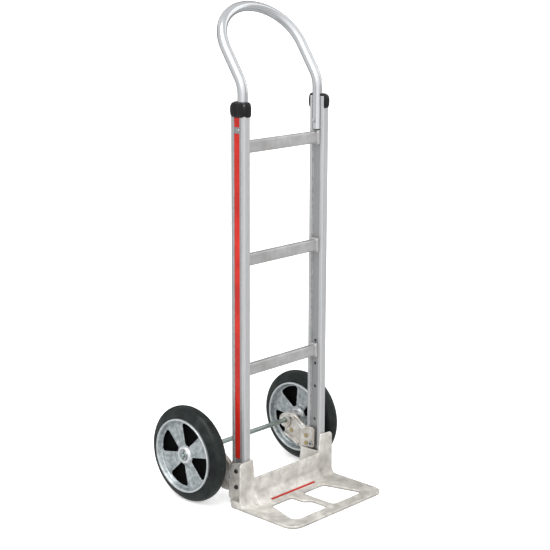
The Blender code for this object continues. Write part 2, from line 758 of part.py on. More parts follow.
def washer(name, x, parent):
    """A flat washer round the axle."""
    half = WASHER_THICKNESS / 2
    inner = AXLE_RADIUS + GAP
    profile = [(-half, inner), (-half, WASHER_RADIUS), (half, WASHER_RADIUS), (half, inner)]
    return solid(name, turned(profile, WASHER_FACETS), "steel", parent, (x, AXLE_BACK, WHEEL_RADIUS))


def cotter_pin(name, side, parent):
    """A cotter through the axle's end, with a round eye above and spread legs below."""
    x = side * COTTER_X
    shank = rod_tool(COTTER_RADIUS, -AXLE_RADIUS - 4 * MM, AXLE_RADIUS + 2.5 * MM, "Z", (0, 0), 10)
    shank.name = name
    shank.data.materials[0] = material("steel")
    eye_radius = 2.4 * MM
    ring = circle(1 * MM, 6, (0, eye_radius))
    join(shank, solid("tool", turned(ring, 10), "steel", location=(0, 0, AXLE_RADIUS + 4.2 * MM)))
    foot = prism("tool", circle(1.1 * MM, 8), 0, 6 * MM)
    foot.location = (0, 0, -AXLE_RADIUS - 3.4 * MM)
    foot.rotation_euler = (math.radians(115), 0, 0)
    join(shank, foot)
    shank.location = (x, AXLE_BACK, WHEEL_RADIUS)
    shank.parent = parent
    return shank


# ---------------------------------------------------------------- wheels


def tyre(name, parent):
    """A solid tyre with a domed tread, fitted round the rim between its flanges."""
    half = TYRE_HALF_WIDTH
    bead = RIM_RADIUS + GAP
    depth = WHEEL_RADIUS - bead
    steps = 10
    profile = [(-half, bead), (half, bead)]
    for step in range(1, steps):
        angle = math.pi * step / steps
        across = abs(math.cos(angle)) ** (2 / TYRE_ROUNDNESS)
        outwards = math.sin(angle) ** (2 / TYRE_ROUNDNESS)
        profile.append((math.copysign(half * across, math.cos(angle)), bead + depth * outwards))
    return solid(name, turned(profile, WHEEL_FACETS), "tyre_rubber", parent)


def hub(name, side, first_angle, parent):
    """A cast wheel centre: rim, disc with four blind pockets in each face, and a bored boss."""
    half = RIM_HALF_WIDTH
    disc_outer = side * DISC_OUTER
    disc_inner = side * DISC_INNER
    boss_outer = side * HUB_HALF_LENGTH
    rim_inside = RIM_RADIUS - 8 * MM
    boss_radius = 21 * MM
    profile = [
        (-boss_outer, HUB_BORE_RADIUS),
        (-boss_outer, boss_radius - 1.5 * MM),
        (-boss_outer + side * 1.5 * MM, boss_radius),
        (disc_inner - side * 3 * MM, boss_radius),
        (disc_inner, boss_radius + 3 * MM),
        (disc_inner, rim_inside - 3 * MM),
        (disc_inner - side * 3 * MM, rim_inside),
        (-side * half, rim_inside + 3 * MM),
        (-side * half, RIM_RADIUS),
        (side * half, RIM_RADIUS),
        (side * half, rim_inside + 3 * MM),
        (disc_outer + side * 3 * MM, rim_inside),
        (disc_outer, rim_inside - 3 * MM),
        (disc_outer, boss_radius + 3 * MM),
        (disc_outer + side * 3 * MM, boss_radius),
        (boss_outer - side * 1.5 * MM, boss_radius),
        (boss_outer, boss_radius - 1.5 * MM),
        (boss_outer, HUB_BORE_RADIUS),
    ]
    made = solid(name, turned(profile, WHEEL_FACETS), "cast_hub", parent)
    for index in range(POCKET_COUNT):
        middle_angle = first_angle + index * 2 * math.pi / POCKET_COUNT
        cut(made, pocket_tool(middle_angle, *ordered(side, WEB_FACES[1], 60 * MM)))
        cut(made, pocket_tool(middle_angle, *ordered(side, -60 * MM, WEB_FACES[0])))
    return made


def pocket_tool(middle_angle, low, high):
    """One flared pocket between two spokes."""
    near = 27 * MM
    far = 85 * MM
    near_half = 6.5 * MM
    far_half_angle = math.radians(24)
    far_half = far * math.sin(far_half_angle)
    far_side = far * math.cos(far_half_angle)
    corners = [
        (near, -near_half, 4 * MM),
        (far_side, -far_half, 7 * MM),
        (far + 1.5 * MM, 0, 60 * MM),
        (far_side, far_half, 7 * MM),
        (near, near_half, 4 * MM),
    ]
    outline = [start_turned(point, middle_angle) for point in rounded(corners, 2)]
    return prism("tool", outline, low, high, "YZX")


def bearing(name, x, parent):
    """A shielded ball bearing in the hub's seat, as one ring with its races and shields flush."""
    half = BEARING_LENGTH / 2
    bore = AXLE_RADIUS + RUNNING_CLEARANCE
    edge = 0.6 * MM
    profile = [
        (-half, bore),
        (-half, BEARING_RADIUS - edge),
        (-half + edge, BEARING_RADIUS),
        (half - edge, BEARING_RADIUS),
        (half, BEARING_RADIUS - edge),
        (half, bore),
    ]
    return solid(name, turned(profile, SHAFT_FACETS), "bearing_steel", parent, (x, 0, 0))


def bearing_spacer(name, x, parent):
    """The sleeve on the axle that keeps a wheel's two bearings apart."""
    half = HUB_HALF_LENGTH - BEARING_LENGTH - GAP
    inner = AXLE_RADIUS + GAP
    outer = 9 * MM
    profile = [(-half, inner), (-half, outer), (half, outer), (half, inner)]
    return solid(name, turned(profile, WASHER_FACETS), "steel", parent, (x, AXLE_BACK, WHEEL_RADIUS))


# ---------------------------------------------------------------- fasteners


def bolt_mesh(head_loop, head_height, shank_radius, length):
    """A bolt with its head above Z = 0 and its shank below, as one closed body."""
    bm = bmesh.new()
    shank_loop = circle(shank_radius, BOLT_FACETS)
    head = [bm.verts.new((u, v, 0)) for u, v in head_loop]
    neck = [bm.verts.new((u, v, 0)) for u, v in shank_loop]
    edges = []
    for loop in (head, neck):
        edges += [bm.edges.new((loop[index - 1], vert)) for index, vert in enumerate(loop)]
    bmesh.ops.triangle_fill(bm, edges=edges, use_beauty=True)
    for loop, height in ((head, head_height), (neck, -length)):
        far_loop = [bm.verts.new((vert.co.x, vert.co.y, height)) for vert in loop]
        for index in range(len(loop)):
            bm.faces.new((loop[index - 1], loop[index], far_loop[index], far_loop[index - 1]))
        bm.faces.new(far_loop)
    return bm


def bolt(name, frame, length, head="hex", material_name="steel", parent=None):
    """A bolt whose head stands along the frame's Z."""
    if head == "hex":
        bm = bolt_mesh(circle(5.6 * MM, 6), 4 * MM, BOLT_RADIUS, length)
    else:
        bm = bolt_mesh(circle(4.6 * MM, 12), 2.6 * MM, BOLT_RADIUS, length)
    bmesh.ops.transform(bm, matrix=frame.to_3x3().to_4x4(), verts=bm.verts)
    return solid(name, bm, material_name, parent, frame.translation)


def facing(side, x, y, z):
    """A frame at a point, with Z along +X (side 1) or -X (side -1)."""
    return Matrix.Translation((x, y, z)) @ Matrix.Rotation(side * math.pi / 2, 4, "Y")


def nut(name, side, x, y, z, parent):
    """A hexagon nut centred on a bolt that runs along X."""
    bm = prism_mesh(circle(5.6 * MM, 6), 0, 4.6 * MM, holes=[circle(BOLT_RADIUS + GAP, BOLT_FACETS)])
    bmesh.ops.transform(bm, matrix=facing(side, 0, 0, 0), verts=bm.verts)
    return solid(name, bm, "steel", parent, (x, y, z))


def brace_bolts(parent):
    """A round-head bolt through each brace pad into the rail's webs."""
    seat = PAD_INNER - GAP
    length = WEB_OUTER - GAP - seat
    for level, height in BRACE_HEIGHTS.items():
        for word, side in SIDES.items():
            frame = facing(-side, side * seat, BRACE_BOLT_Y, height)
            bolt(f"brace_bolt_{level}_{word}", frame, length, "round", parent=parent)


def handle_bolts(parent):
    """A bolt and nut that clamp each handle leg to its rail, through the outer channel."""
    seat = WEB_OUTER + GAP
    nut_face = LEG_X - TUBE_RADIUS - 0.5 * MM
    length = seat - nut_face + 6 * MM
    for word, side in SIDES.items():
        frame = facing(side, side * seat, RAIL_MIDDLE, HANDLE_BOLT_HEIGHT)
        bolt(f"handle_bolt_{word}", frame, length, "round", parent=parent)
        nut(f"handle_nut_{word}", -side, side * nut_face, RAIL_MIDDLE, HANDLE_BOLT_HEIGHT, parent)


def nose_bolts(parent):
    """Two bolts and nuts through each rail socket of the nose casting."""
    seat = OUTER_CHEEK[1] + GAP
    nut_face = INNER_CHEEK[0] - GAP
    length = seat - nut_face + 6 * MM
    for level, height in NOSE_BOLT_HEIGHTS.items():
        for word, side in SIDES.items():
            inner_face = nut_face if level == "lower" else BRACKET_WEB[0] - GAP
            reach = length if level == "lower" else seat - inner_face + 6 * MM
            frame = facing(side, side * seat, RAIL_MIDDLE, height)
            bolt(f"nose_bolt_{level}_{word}", frame, reach, parent=parent)
            nut(f"nose_nut_{level}_{word}", -side, side * inner_face, RAIL_MIDDLE, height, parent)


def bracket_bolts(parent):
    """Two bolts that hold each wheel bracket's inner web to the rail's rear bead."""
    seat = BRACKET_WEB[0] - GAP
    length = RAIL_OUTER - 2 * MM - seat
    for level, height in BRACKET_BOLT_HEIGHTS.items():
        for word, side in SIDES.items():
            frame = facing(-side, side * seat, BRACKET_BOLT_Y, height)
            bolt(f"bracket_bolt_{level}_{word}", frame, length, material_name="yellow_zinc", parent=parent)


def arm_bolts(parent):
    """A short bolt through the arm of each wheel bracket, its head on the inner side."""
    seat = BRACKET_ARM[0] - GAP
    length = BRACKET_ARM[1] - seat
    for word, side in SIDES.items():
        frame = facing(-side, side * seat, *ARM_BOLT)
        bolt(f"bracket_bolt_arm_{word}", frame, length, material_name="yellow_zinc", parent=parent)


# ---------------------------------------------------------------- assembly


def build_frame(parent):
    strip_foot = 127 * MM
    bolt_gap = 8 * MM
    strip_top = 997 * MM
    for word, side in SIDES.items():
        rail(f"rail_{word}", side, parent)
        strip(f"rail_strip_{word}", side, strip_foot, HANDLE_BOLT_HEIGHT - bolt_gap, parent)
        strip(f"rail_strip_upper_{word}", side, HANDLE_BOLT_HEIGHT + bolt_gap, strip_top, parent)
        rail_cap(f"rail_cap_{word}", side, parent)
    for level, height in BRACE_HEIGHTS.items():
        brace(f"cross_brace_{level}", height, parent)
    loop_handle(parent)
    nose_plate(parent)
    nose_stripe(parent)
    for word, side in SIDES.items():
        wheel_bracket(f"wheel_bracket_{word}", side, parent)


def build_axle(parent):
    axle(parent)
    inner_x = WHEEL_X - HUB_HALF_LENGTH - GAP - WASHER_THICKNESS / 2
    outer_x = WHEEL_X + HUB_HALF_LENGTH + GAP + WASHER_THICKNESS / 2
    for word, side in SIDES.items():
        washer(f"washer_inner_{word}", side * inner_x, parent)
        washer(f"washer_outer_{word}", side * outer_x, parent)
        bearing_spacer(f"bearing_spacer_{word}", side * WHEEL_X, parent)
        cotter_pin(f"cotter_pin_{word}", side, parent)


def build_wheel(word, side, root):
    axis = empty(f"wheel_axis_{word}", (side * WHEEL_X, AXLE_BACK, WHEEL_RADIUS), root)
    tyre(f"tyre_{word}", axis)
    hub(f"hub_{word}", side, POCKET_FIRST_ANGLES[word], axis)
    bearing_x = HUB_HALF_LENGTH - BEARING_LENGTH / 2
    bearing(f"bearing_inner_{word}", -side * bearing_x, axis)
    bearing(f"bearing_outer_{word}", side * bearing_x, axis)


def main():
    clear_scene()
    root = empty("truck_frame", (0, FRAME_SHIFT, 0))
    build_frame(root)
    build_axle(root)
    for word, side in SIDES.items():
        build_wheel(word, side, root)
    brace_bolts(root)
    handle_bolts(root)
    nose_bolts(root)
    bracket_bolts(root)
    arm_bolts(root)


main()
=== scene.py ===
import math

import bmesh
import bpy
import numpy as np
from mathutils import Matrix, Vector


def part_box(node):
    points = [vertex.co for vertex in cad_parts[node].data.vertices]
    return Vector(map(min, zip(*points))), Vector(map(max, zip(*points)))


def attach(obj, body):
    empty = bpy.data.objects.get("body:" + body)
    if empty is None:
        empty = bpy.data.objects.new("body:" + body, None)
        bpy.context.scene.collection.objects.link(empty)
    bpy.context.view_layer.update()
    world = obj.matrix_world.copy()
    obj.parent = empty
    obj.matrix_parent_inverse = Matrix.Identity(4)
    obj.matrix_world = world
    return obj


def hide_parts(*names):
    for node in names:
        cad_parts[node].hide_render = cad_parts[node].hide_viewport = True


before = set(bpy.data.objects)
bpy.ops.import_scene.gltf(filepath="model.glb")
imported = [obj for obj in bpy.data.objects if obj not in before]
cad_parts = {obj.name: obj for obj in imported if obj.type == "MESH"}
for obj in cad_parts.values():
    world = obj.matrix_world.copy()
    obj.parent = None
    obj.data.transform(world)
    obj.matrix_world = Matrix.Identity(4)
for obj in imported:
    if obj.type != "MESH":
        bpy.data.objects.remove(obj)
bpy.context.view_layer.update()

# Builder functions work in millimetres, in the truck's own frame: X from the centre plane,
# Y behind the rails' front faces, Z up from the floor.
MM = 0.001
SIDES = {"left": -1, "right": 1}


def cad_span(node, axis):
    """The lowest and highest coordinate of a CAD node along one axis, in mm."""
    low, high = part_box(node)
    return low[axis] / MM, high[axis] / MM


def cad_middle(node, axis):
    return sum(cad_span(node, axis)) / 2


SHIFT = cad_span("rail_right", 1)[0]
RAIL_INNER, RAIL_OUTER = cad_span("rail_right", 0)
RAIL_DEPTH = cad_span("rail_right", 1)[1] - SHIFT
RAIL_MIDDLE = RAIL_DEPTH / 2
RAIL_FOOT, RAIL_TOP = cad_span("rail_right", 2)
CHANNEL_DEPTH = 5
CHANNEL_WIDTH = 26.6
STRIP_CHANNEL_DEPTH = 3.3
STRIP_LOW, STRIP_HIGH = (edge - SHIFT for edge in cad_span("rail_strip_right", 1))
STRIP_MIDDLE = (STRIP_LOW + STRIP_HIGH) / 2
STRIP_CHANNEL_WIDTH = STRIP_HIGH - STRIP_LOW + 0.6
WEB_INNER = RAIL_INNER + CHANNEL_DEPTH
WEB_OUTER = RAIL_OUTER - STRIP_CHANNEL_DEPTH
BOLT_HOLE = 3.35
ACCESSORY_HOLES = (162, 254, 317.5, 381)
LEVELS = ("bottom", "middle", "top")
BRACE_HEIGHTS = {level: cad_middle(f"cross_brace_{level}", 2) for level in LEVELS}
BRACE_FRONT = 16
BRACE_BOLT_Y = cad_middle("brace_bolt_top_right", 1) - SHIFT
PAD_INNER = 129
LEG_X = 135
LEG_FOOT = cad_span("loop_handle", 2)[0]
TUBE_RADIUS = 12.7
BEND_START = 1052
BEND_RADIUS = 70
BEND_ANGLE = math.radians(33.6)
STRAIGHT_AFTER_BEND = 80
ARCH_HEIGHT = 115
HANDLE_BOLT_Z = cad_middle("handle_bolt_right", 2)
NOSE_HALF_WIDTH = cad_span("nose_plate", 0)[1]
NOSE_REACH = SHIFT - cad_span("nose_plate", 1)[0]
NOSE_BOLTS = {"lower": cad_middle("nose_bolt_lower_right", 2), "upper": cad_middle("nose_bolt_upper_right", 2)}
BRACKET_BOLTS = {"lower": cad_middle("bracket_bolt_lower_right", 2), "upper": cad_middle("bracket_bolt_upper_right", 2)}
BRACKET_BOLT_Y = cad_middle("bracket_bolt_lower_right", 1) - SHIFT
AXLE_Y = cad_middle("axle", 1) - SHIFT
AXLE_Z = cad_middle("axle", 2)
AXLE_END = cad_span("axle", 0)[1]
AXLE_RADIUS = 6.35
WHEEL_X = cad_middle("tyre_right", 0)
WHEEL_RADIUS = cad_span("tyre_right", 2)[1] - AXLE_Z
TYRE_HALF = WHEEL_X - cad_span("tyre_right", 0)[0]
TYRE_ROUNDNESS = 2.2
RIM_RADIUS = 97
HUB_HALF = 21
BOSS_RADIUS = 20
BOSS_SPAN = (146, cad_span("wheel_bracket_right", 0)[1])
BRACKET_ARM = (152, 159)
ARM_RIB_INNER = 143
ARM_BOLT = (cad_middle("bracket_bolt_arm_right", 1) - SHIFT, cad_middle("bracket_bolt_arm_right", 2))


# ---------------------------------------------------------------- outlines and meshes


def turn(point, angle):
    cosine, sine = math.cos(angle), math.sin(angle)
    return Vector((point[0] * cosine - point[1] * sine, point[0] * sine + point[1] * cosine))


def rounded(corners, steps=8):
    """An outline from (u, v, radius) corners, each rounded by an arc of that radius."""
    outline = []
    for index, (u, v, radius) in enumerate(corners):
        corner = Vector((u, v))
        if radius <= 0:
            outline.append(corner)
            continue
        before = (Vector(corners[index - 1][:2]) - corner).normalized()
        after = (Vector(corners[(index + 1) % len(corners)][:2]) - corner).normalized()
        half = before.angle(after) / 2
        centre = corner + (before + after).normalized() * radius / math.sin(half)
        start = corner + before * radius / math.tan(half) - centre
        end = corner + after * radius / math.tan(half) - centre
        sweep = math.atan2(start.x * end.y - start.y * end.x, start.dot(end))
        outline += [centre + turn(start, sweep * step / steps) for step in range(steps + 1)]
    return outline


def circle(radius, count=32, centre=(0, 0)):
    middle = Vector(centre)
    return [middle + turn((radius, 0), 2 * math.pi * step / count) for step in range(count)]


PLANES = {
    "XYZ": Matrix.Identity(4),
    "YZX": Matrix(((0, 0, 1, 0), (1, 0, 0, 0), (0, 1, 0, 0), (0, 0, 0, 1))),
    "XZY": Matrix(((1, 0, 0, 0), (0, 0, 1, 0), (0, 1, 0, 0), (0, 0, 0, 1))),
}


def prism(outline, low, high, plane="XYZ", holes=()):
    """A closed prism over an outline in the first two named axes, from low to high along the third."""
    bm = bmesh.new()
    edges = []
    for loop in (outline, *holes):
        verts = [bm.verts.new((*point, low)) for point in loop]
        edges += [bm.edges.new((verts[index - 1], vert)) for index, vert in enumerate(verts)]
    bmesh.ops.triangle_fill(bm, edges=edges, use_beauty=True)
    raised = bmesh.ops.extrude_face_region(bm, geom=bm.faces[:])["geom"]
    bmesh.ops.translate(bm, verts=[v for v in raised if isinstance(v, bmesh.types.BMVert)], vec=(0, 0, high - low))
    bmesh.ops.transform(bm, matrix=PLANES[plane], verts=bm.verts)
    return mesh_of(bm)


def rod(radius, low, high, axis="X", centre=(0, 0), count=32):
    return prism(circle(radius, count, centre), low, high, {"X": "YZX", "Y": "XZY", "Z": "XYZ"}[axis])


def lathe(profile, count=96):
    """A closed profile of (x, radius) points turned about X."""
    bm = bmesh.new()
    verts = [bm.verts.new((x, radius, 0)) for x, radius in profile]
    for index, vert in enumerate(verts):
        if vert.co.y > 0 or verts[index - 1].co.y > 0:
            bm.edges.new((verts[index - 1], vert))
    geometry = bm.verts[:] + bm.edges[:]
    bmesh.ops.spin(bm, geom=geometry, axis=(1, 0, 0), cent=(0, 0, 0), steps=count, angle=2 * math.pi)
    bmesh.ops.remove_doubles(bm, verts=bm.verts, dist=1e-4)
    return mesh_of(bm)


def loft(rings):
    """A closed skin through rings of the same number of points, capped at both ends."""
    bm = bmesh.new()
    rows = [[bm.verts.new(point) for point in ring] for ring in rings]
    for low, high in zip(rows, rows[1:]):
        for index in range(len(low)):
            bm.faces.new((low[index - 1], low[index], high[index], high[index - 1]))
    bm.faces.new(rows[0])
    bm.faces.new(rows[-1])
    return mesh_of(bm)


def mesh_of(bm):
    bmesh.ops.recalc_face_normals(bm, faces=bm.faces)
    mesh = bpy.data.meshes.new("shape")
    bm.to_mesh(mesh)
    bm.free()
    return mesh


def moved(mesh, matrix):
    mesh.transform(matrix)
    return mesh


def mirrored(mesh):
    made = mesh.copy()
    made.transform(Matrix.Diagonal((-1, 1, 1, 1)))
    made.flip_normals()
    return made


def evaluated(mesh, prepare):
    """The mesh after the modifiers that prepare adds to a temporary object."""
    holder = bpy.data.objects.new("holder", mesh)
    bpy.context.scene.collection.objects.link(holder)
    extras = prepare(holder) or []
    bpy.context.view_layer.update()
    graph = bpy.context.evaluated_depsgraph_get()
    made = bpy.data.meshes.new_from_object(holder.evaluated_get(graph))
    for extra in [holder, *extras]:
        bpy.data.objects.remove(extra)
    return made


def combined(mesh, tool, operation):
    def prepare(holder):
        helper = bpy.data.objects.new("tool", tool)
        bpy.context.scene.collection.objects.link(helper)
        modifier = holder.modifiers.new("boolean", "BOOLEAN")
        modifier.operation = operation
        modifier.object = helper
        return [helper]

    return evaluated(mesh, prepare)


def cut(mesh, *tools):
    for tool in tools:
        mesh = combined(mesh, tool, "DIFFERENCE")
    return mesh


def joined(mesh, *tools):
    for tool in tools:
        mesh = combined(mesh, tool, "UNION")
    return mesh


def gathered(*meshes):
    """All the meshes as one, for remeshing into a single skin."""
    bm = bmesh.new()
    for mesh in meshes:
        bm.from_mesh(mesh)
    return mesh_of(bm)


def softened(mesh, voxel, rounds=3):
    """The mesh with its edges rounded as a casting's or moulding's are."""

    def prepare(holder):
        voxels = holder.modifiers.new("voxels", "REMESH")
        voxels.mode = "VOXEL"
        voxels.voxel_size = voxel
        smoothing = holder.modifiers.new("smoothing", "SMOOTH")
        smoothing.factor = 0.5
        smoothing.iterations = rounds

    return evaluated(mesh, prepare)


def bevelled(mesh, width, segments=2, angle=30):
    def prepare(holder):
        bevel = holder.modifiers.new("bevel", "BEVEL")
        bevel.width = width
        bevel.segments = segments
        bevel.angle_limit = math.radians(angle)
        bevel.miter_outer = "MITER_ARC"

    return evaluated(mesh, prepare)


def piece(name, mesh, finish, body, replaces, origin=None, sharp=35):
    """A finished piece from a mesh in mm, riding on a body in place of its CAD nodes."""
    made = bpy.data.objects.new(name, mesh)
    if not mesh.get("in_metres"):
        mesh.transform(Matrix.Scale(MM, 4))
        mesh["in_metres"] = True
    bpy.context.scene.collection.objects.link(made)
    mesh.shade_smooth()
    mesh.set_sharp_from_angle(angle=math.radians(sharp))
    mesh.materials.clear()
    mesh.materials.append(finish)
    x, y, z = origin or (0, 0, 0)
    made.location = (x * MM, (y + SHIFT) * MM, z * MM)
    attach(made, body)
    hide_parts(*replaces)
    return made


# ---------------------------------------------------------------- materials


class Nodes:
    """Short calls for building one material's node tree."""

    def __init__(self, name):
        self.material = bpy.data.materials.new(name)
        self.material.use_nodes = True
        self.tree = self.material.node_tree
        self.shader = self.tree.nodes["Principled BSDF"]

    def add(self, kind, inputs=None, **settings):
        node = self.tree.nodes.new("ShaderNode" + kind)
        for key, value in settings.items():
            setattr(node, key, value)
        for key, value in (inputs or {}).items():
            self.put(node.inputs[key], value)
        return node

    def put(self, socket, value):
        if isinstance(value, bpy.types.NodeSocket):
            self.tree.links.new(value, socket)
        else:
            socket.default_value = value

    def set(self, **values):
        for key, value in values.items():
            self.put(self.shader.inputs[key.replace("_", " ")], value)

    def place(self, stretch=(1, 1, 1), source="Object"):
        """Texture coordinates in metres, scaled per axis."""
        coordinates = self.add("TexCoord").outputs[source]
        return self.add("Mapping", {"Vector": coordinates, "Scale": stretch}).outputs[0]

    def noise(self, place, scale, detail=4, roughness=0.55, distortion=0.0):
        values = {"Vector": place, "Scale": scale, "Detail": detail, "Roughness": roughness, "Distortion": distortion}
        return self.add("TexNoise", values).outputs[0]

    def ramp(self, value, low, high, to_low=0.0, to_high=1.0):
        """A clamped linear map from low..high to to_low..to_high."""
        values = {"Value": value, "From Min": low, "From Max": high, "To Min": to_low, "To Max": to_high}
        return self.add("MapRange", values).outputs[0]

    def mix(self, factor, first, second, blend="MIX"):
        node = self.add("Mix", data_type="RGBA", blend_type=blend)
        for index, value in ((0, factor), (6, first), (7, second)):
            if isinstance(value, tuple) and len(value) == 3:
                value = (*value, 1)
            self.put(node.inputs[index], value)
        return node.outputs[2]

    def maths(self, operation, first, second=0.0):
        return self.add("Math", {0: first, 1: second}, operation=operation).outputs[0]

    def bump(self, height, distance, strength=1.0, normal=None):
        values = {"Height": height, "Distance": distance, "Strength": strength}
        if normal is not None:
            values["Normal"] = normal
        return self.add("Bump", values).outputs[0]

    def crevice(self, distance):
        """1 in the open and towards 0 in corners."""
        return self.add("AmbientOcclusion", {"Distance": distance}, samples=6).outputs["AO"]


def drawn_metal(name, light, dark, rough, stretch, metallic=1.0, source="Object", channel=None):
    """Extruded, drawn or plated metal: streaks along its length, stains, scratches and, if a channel is given, painted
    shade in that channel and down the rear of the outer side.
    """
    n = Nodes(name)
    place = n.place(stretch, source)
    streaks = n.noise(place, 1.0, 6, 0.65)
    blotches = n.noise(n.place(), 28.0, 3, 0.5)
    colour = n.mix(n.ramp(streaks, 0.32, 0.68), dark, light)
    stain = n.ramp(blotches, 0.48, 0.75, 0.0, 0.35)
    colour = n.mix(stain, colour, tuple(channel * 0.82 for channel in light))
    # Painted shade: a band across the rail's depth (the channel) darkened towards a shade colour by the channel's third
    # value, with a ragged edge.
    if channel:
        middle, half, depth = channel
        split = n.add("SeparateXYZ", {"Vector": n.place()}).outputs
        across = split[1]
        off = n.maths("ABSOLUTE", n.maths("SUBTRACT", across, middle))
        ragged = n.maths("ADD", off, n.ramp(n.noise(n.place(), 90.0, 4), 0.3, 0.7, -0.0015, 0.0015))
        shade = tuple(0.3 * channel for channel in dark)
        colour = n.mix(n.ramp(ragged, half - 0.002, half + 0.001, depth, 0.0), colour, shade)
        # Painted shade: the rear part of the outer side darkened halfway towards the same shade colour.
        outside = n.ramp(n.maths("ABSOLUTE", split[0]), 0.150, 0.154)
        bead = n.ramp(across, middle + 0.009, middle + 0.018, 0.0, 0.5)
        colour = n.mix(n.maths("MULTIPLY", outside, bead), colour, shade)
    scratch = n.ramp(n.noise(place, 3.1, 2, 0.4), 0.62, 0.7)
    rough_map = n.ramp(streaks, 0.3, 0.7, rough - 0.06, rough + 0.08)
    n.set(Base_Color=colour, Metallic=metallic, Roughness=n.maths("ADD", rough_map, n.maths("MULTIPLY", scratch, 0.1)))
    n.set(Normal=n.bump(n.maths("SUBTRACT", streaks, n.maths("MULTIPLY", scratch, 0.3)), 0.00006, 0.6))
    return n.material


def cast_metal(name, light, dark, grime_and_shade, rough, grain=1100.0, metallic=0.85, relief=0.00022):
    """Sand-cast aluminium: a pebbled skin, mottled tone, grime patches and pits, and painted shade darkening the
    corners.
    """
    n = Nodes(name)
    place = n.place()
    mottle = n.noise(place, 42.0, 5, 0.6)
    patches = n.noise(place, 11.0, 3, 0.5, 0.4)
    pebble = n.noise(place, grain, 3, 0.6)
    pits = n.add("TexVoronoi", {"Vector": place, "Scale": 420.0}, feature="F1").outputs["Distance"]
    pit_mask = n.maths("MULTIPLY", n.ramp(pits, 0.05, 0.22, 1.0, 0.0), n.ramp(mottle, 0.5, 0.6))
    colour = n.mix(n.ramp(mottle, 0.35, 0.65), dark, light)
    colour = n.mix(n.ramp(patches, 0.42, 0.66, 0.0, 0.45), colour, tuple(0.5 * (a + b) for a, b in zip(dark, grime_and_shade)))
    # Painted shade: corners and recesses darkened by ambient occlusion towards the darkest colour.
    colour = n.mix(n.ramp(n.crevice(0.02), 0.25, 0.85, 0.75, 0.0), colour, grime_and_shade)
    colour = n.mix(n.maths("MULTIPLY", pit_mask, 0.5), colour, grime_and_shade)
    height = n.maths("ADD", n.maths("MULTIPLY", pebble, 0.6), n.maths("MULTIPLY", mottle, 0.6))
    height = n.maths("SUBTRACT", height, n.maths("MULTIPLY", pit_mask, 0.35))
    n.set(Base_Color=colour, Metallic=metallic, Roughness=n.ramp(mottle, 0.3, 0.7, rough - 0.07, rough + 0.1))
    n.set(Normal=n.bump(height, relief, 0.8))
    return n.material


def hub_finish():
    """Silvered casting with black-painted pockets and painted shade in its corners; the mesh's depth attribute marks
    the faces' level.
    """
    n = Nodes("hub_silver")
    place = n.place()
    depth = n.add("Attribute", attribute_name="pocket").outputs["Fac"]
    mottle = n.noise(place, 85.0, 6, 0.7)
    pebble = n.noise(place, 900.0, 3, 0.6)
    silver = n.mix(n.ramp(mottle, 0.38, 0.62), (0.25, 0.285, 0.30), (0.53, 0.57, 0.585))
    radius = n.add("VectorMath", {0: n.place((0, 1, 1))}, operation="LENGTH").outputs["Value"]
    silver = n.mix(n.ramp(radius, 0.021, 0.025, 0.75, 0.0), silver, (0.86, 0.88, 0.88))
    silver = n.mix(n.ramp(radius, 0.089, 0.094, 0.0, 0.45), silver, (0.80, 0.82, 0.82))
    # Painted shade: the silver darkened towards near-black in corners and recesses, by ambient occlusion.
    silver = n.mix(n.ramp(n.crevice(0.012), 0.3, 0.9, 0.55, 0.0), silver, (0.07, 0.08, 0.085))
    ragged = n.maths("ADD", depth, n.ramp(n.noise(place, 350.0, 3), 0.3, 0.7, -0.18, 0.18))
    black = n.ramp(ragged, 0.35, 0.65)
    soot = n.mix(mottle, (0.0008, 0.0008, 0.001), (0.0025, 0.0025, 0.003))
    n.set(Base_Color=n.mix(black, silver, soot), Specular_IOR_Level=n.ramp(black, 0.0, 1.0, 0.5, 0.08))
    n.set(Metallic=n.ramp(black, 0.0, 1.0, 0.75, 0.0), Roughness=n.ramp(black, 0.0, 1.0, 0.4, 0.8))
    height = n.maths("ADD", pebble, n.maths("MULTIPLY", mottle, 0.8))
    n.set(Normal=n.bump(height, 0.00015, 0.7))
    return n.material


def tyre_finish():
    """Grey-green solid rubber with mould marks round it, dust and scuffs."""
    n = Nodes("tyre_rubber_worn")
    place = n.place()
    cloud = n.noise(place, 22.0, 5, 0.6, 0.5)
    fine = n.noise(place, 700.0, 3, 0.6)
    split = n.add("SeparateXYZ", {"Vector": place}).outputs
    radius = n.add("VectorMath", {0: n.place((0, 1, 1))}, operation="LENGTH").outputs["Value"]
    rings = n.add("CombineXYZ", {"X": n.maths("MULTIPLY", radius, 500.0), "Y": n.maths("MULTIPLY", split[0], 250.0)})
    ring_noise = n.noise(rings.outputs[0], 1.0, 2)
    colour = n.mix(n.ramp(cloud, 0.35, 0.7), (0.005, 0.007, 0.007), (0.020, 0.028, 0.026))
    dust = n.maths("MULTIPLY", n.ramp(n.noise(place, 9.0, 6, 0.65), 0.5, 0.72), n.ramp(fine, 0.35, 0.65))
    colour = n.mix(n.maths("MULTIPLY", dust, 0.3), colour, (0.06, 0.065, 0.06))
    n.set(Base_Color=colour, Roughness=n.ramp(cloud, 0.3, 0.7, 0.27, 0.42))
    n.shader.inputs["Specular IOR Level"].default_value = 0.18
    height = n.maths("ADD", n.maths("MULTIPLY", fine, 0.35), n.maths("MULTIPLY", ring_noise, 0.8))
    n.set(Normal=n.bump(height, 0.0003, 0.6))
    return n.material


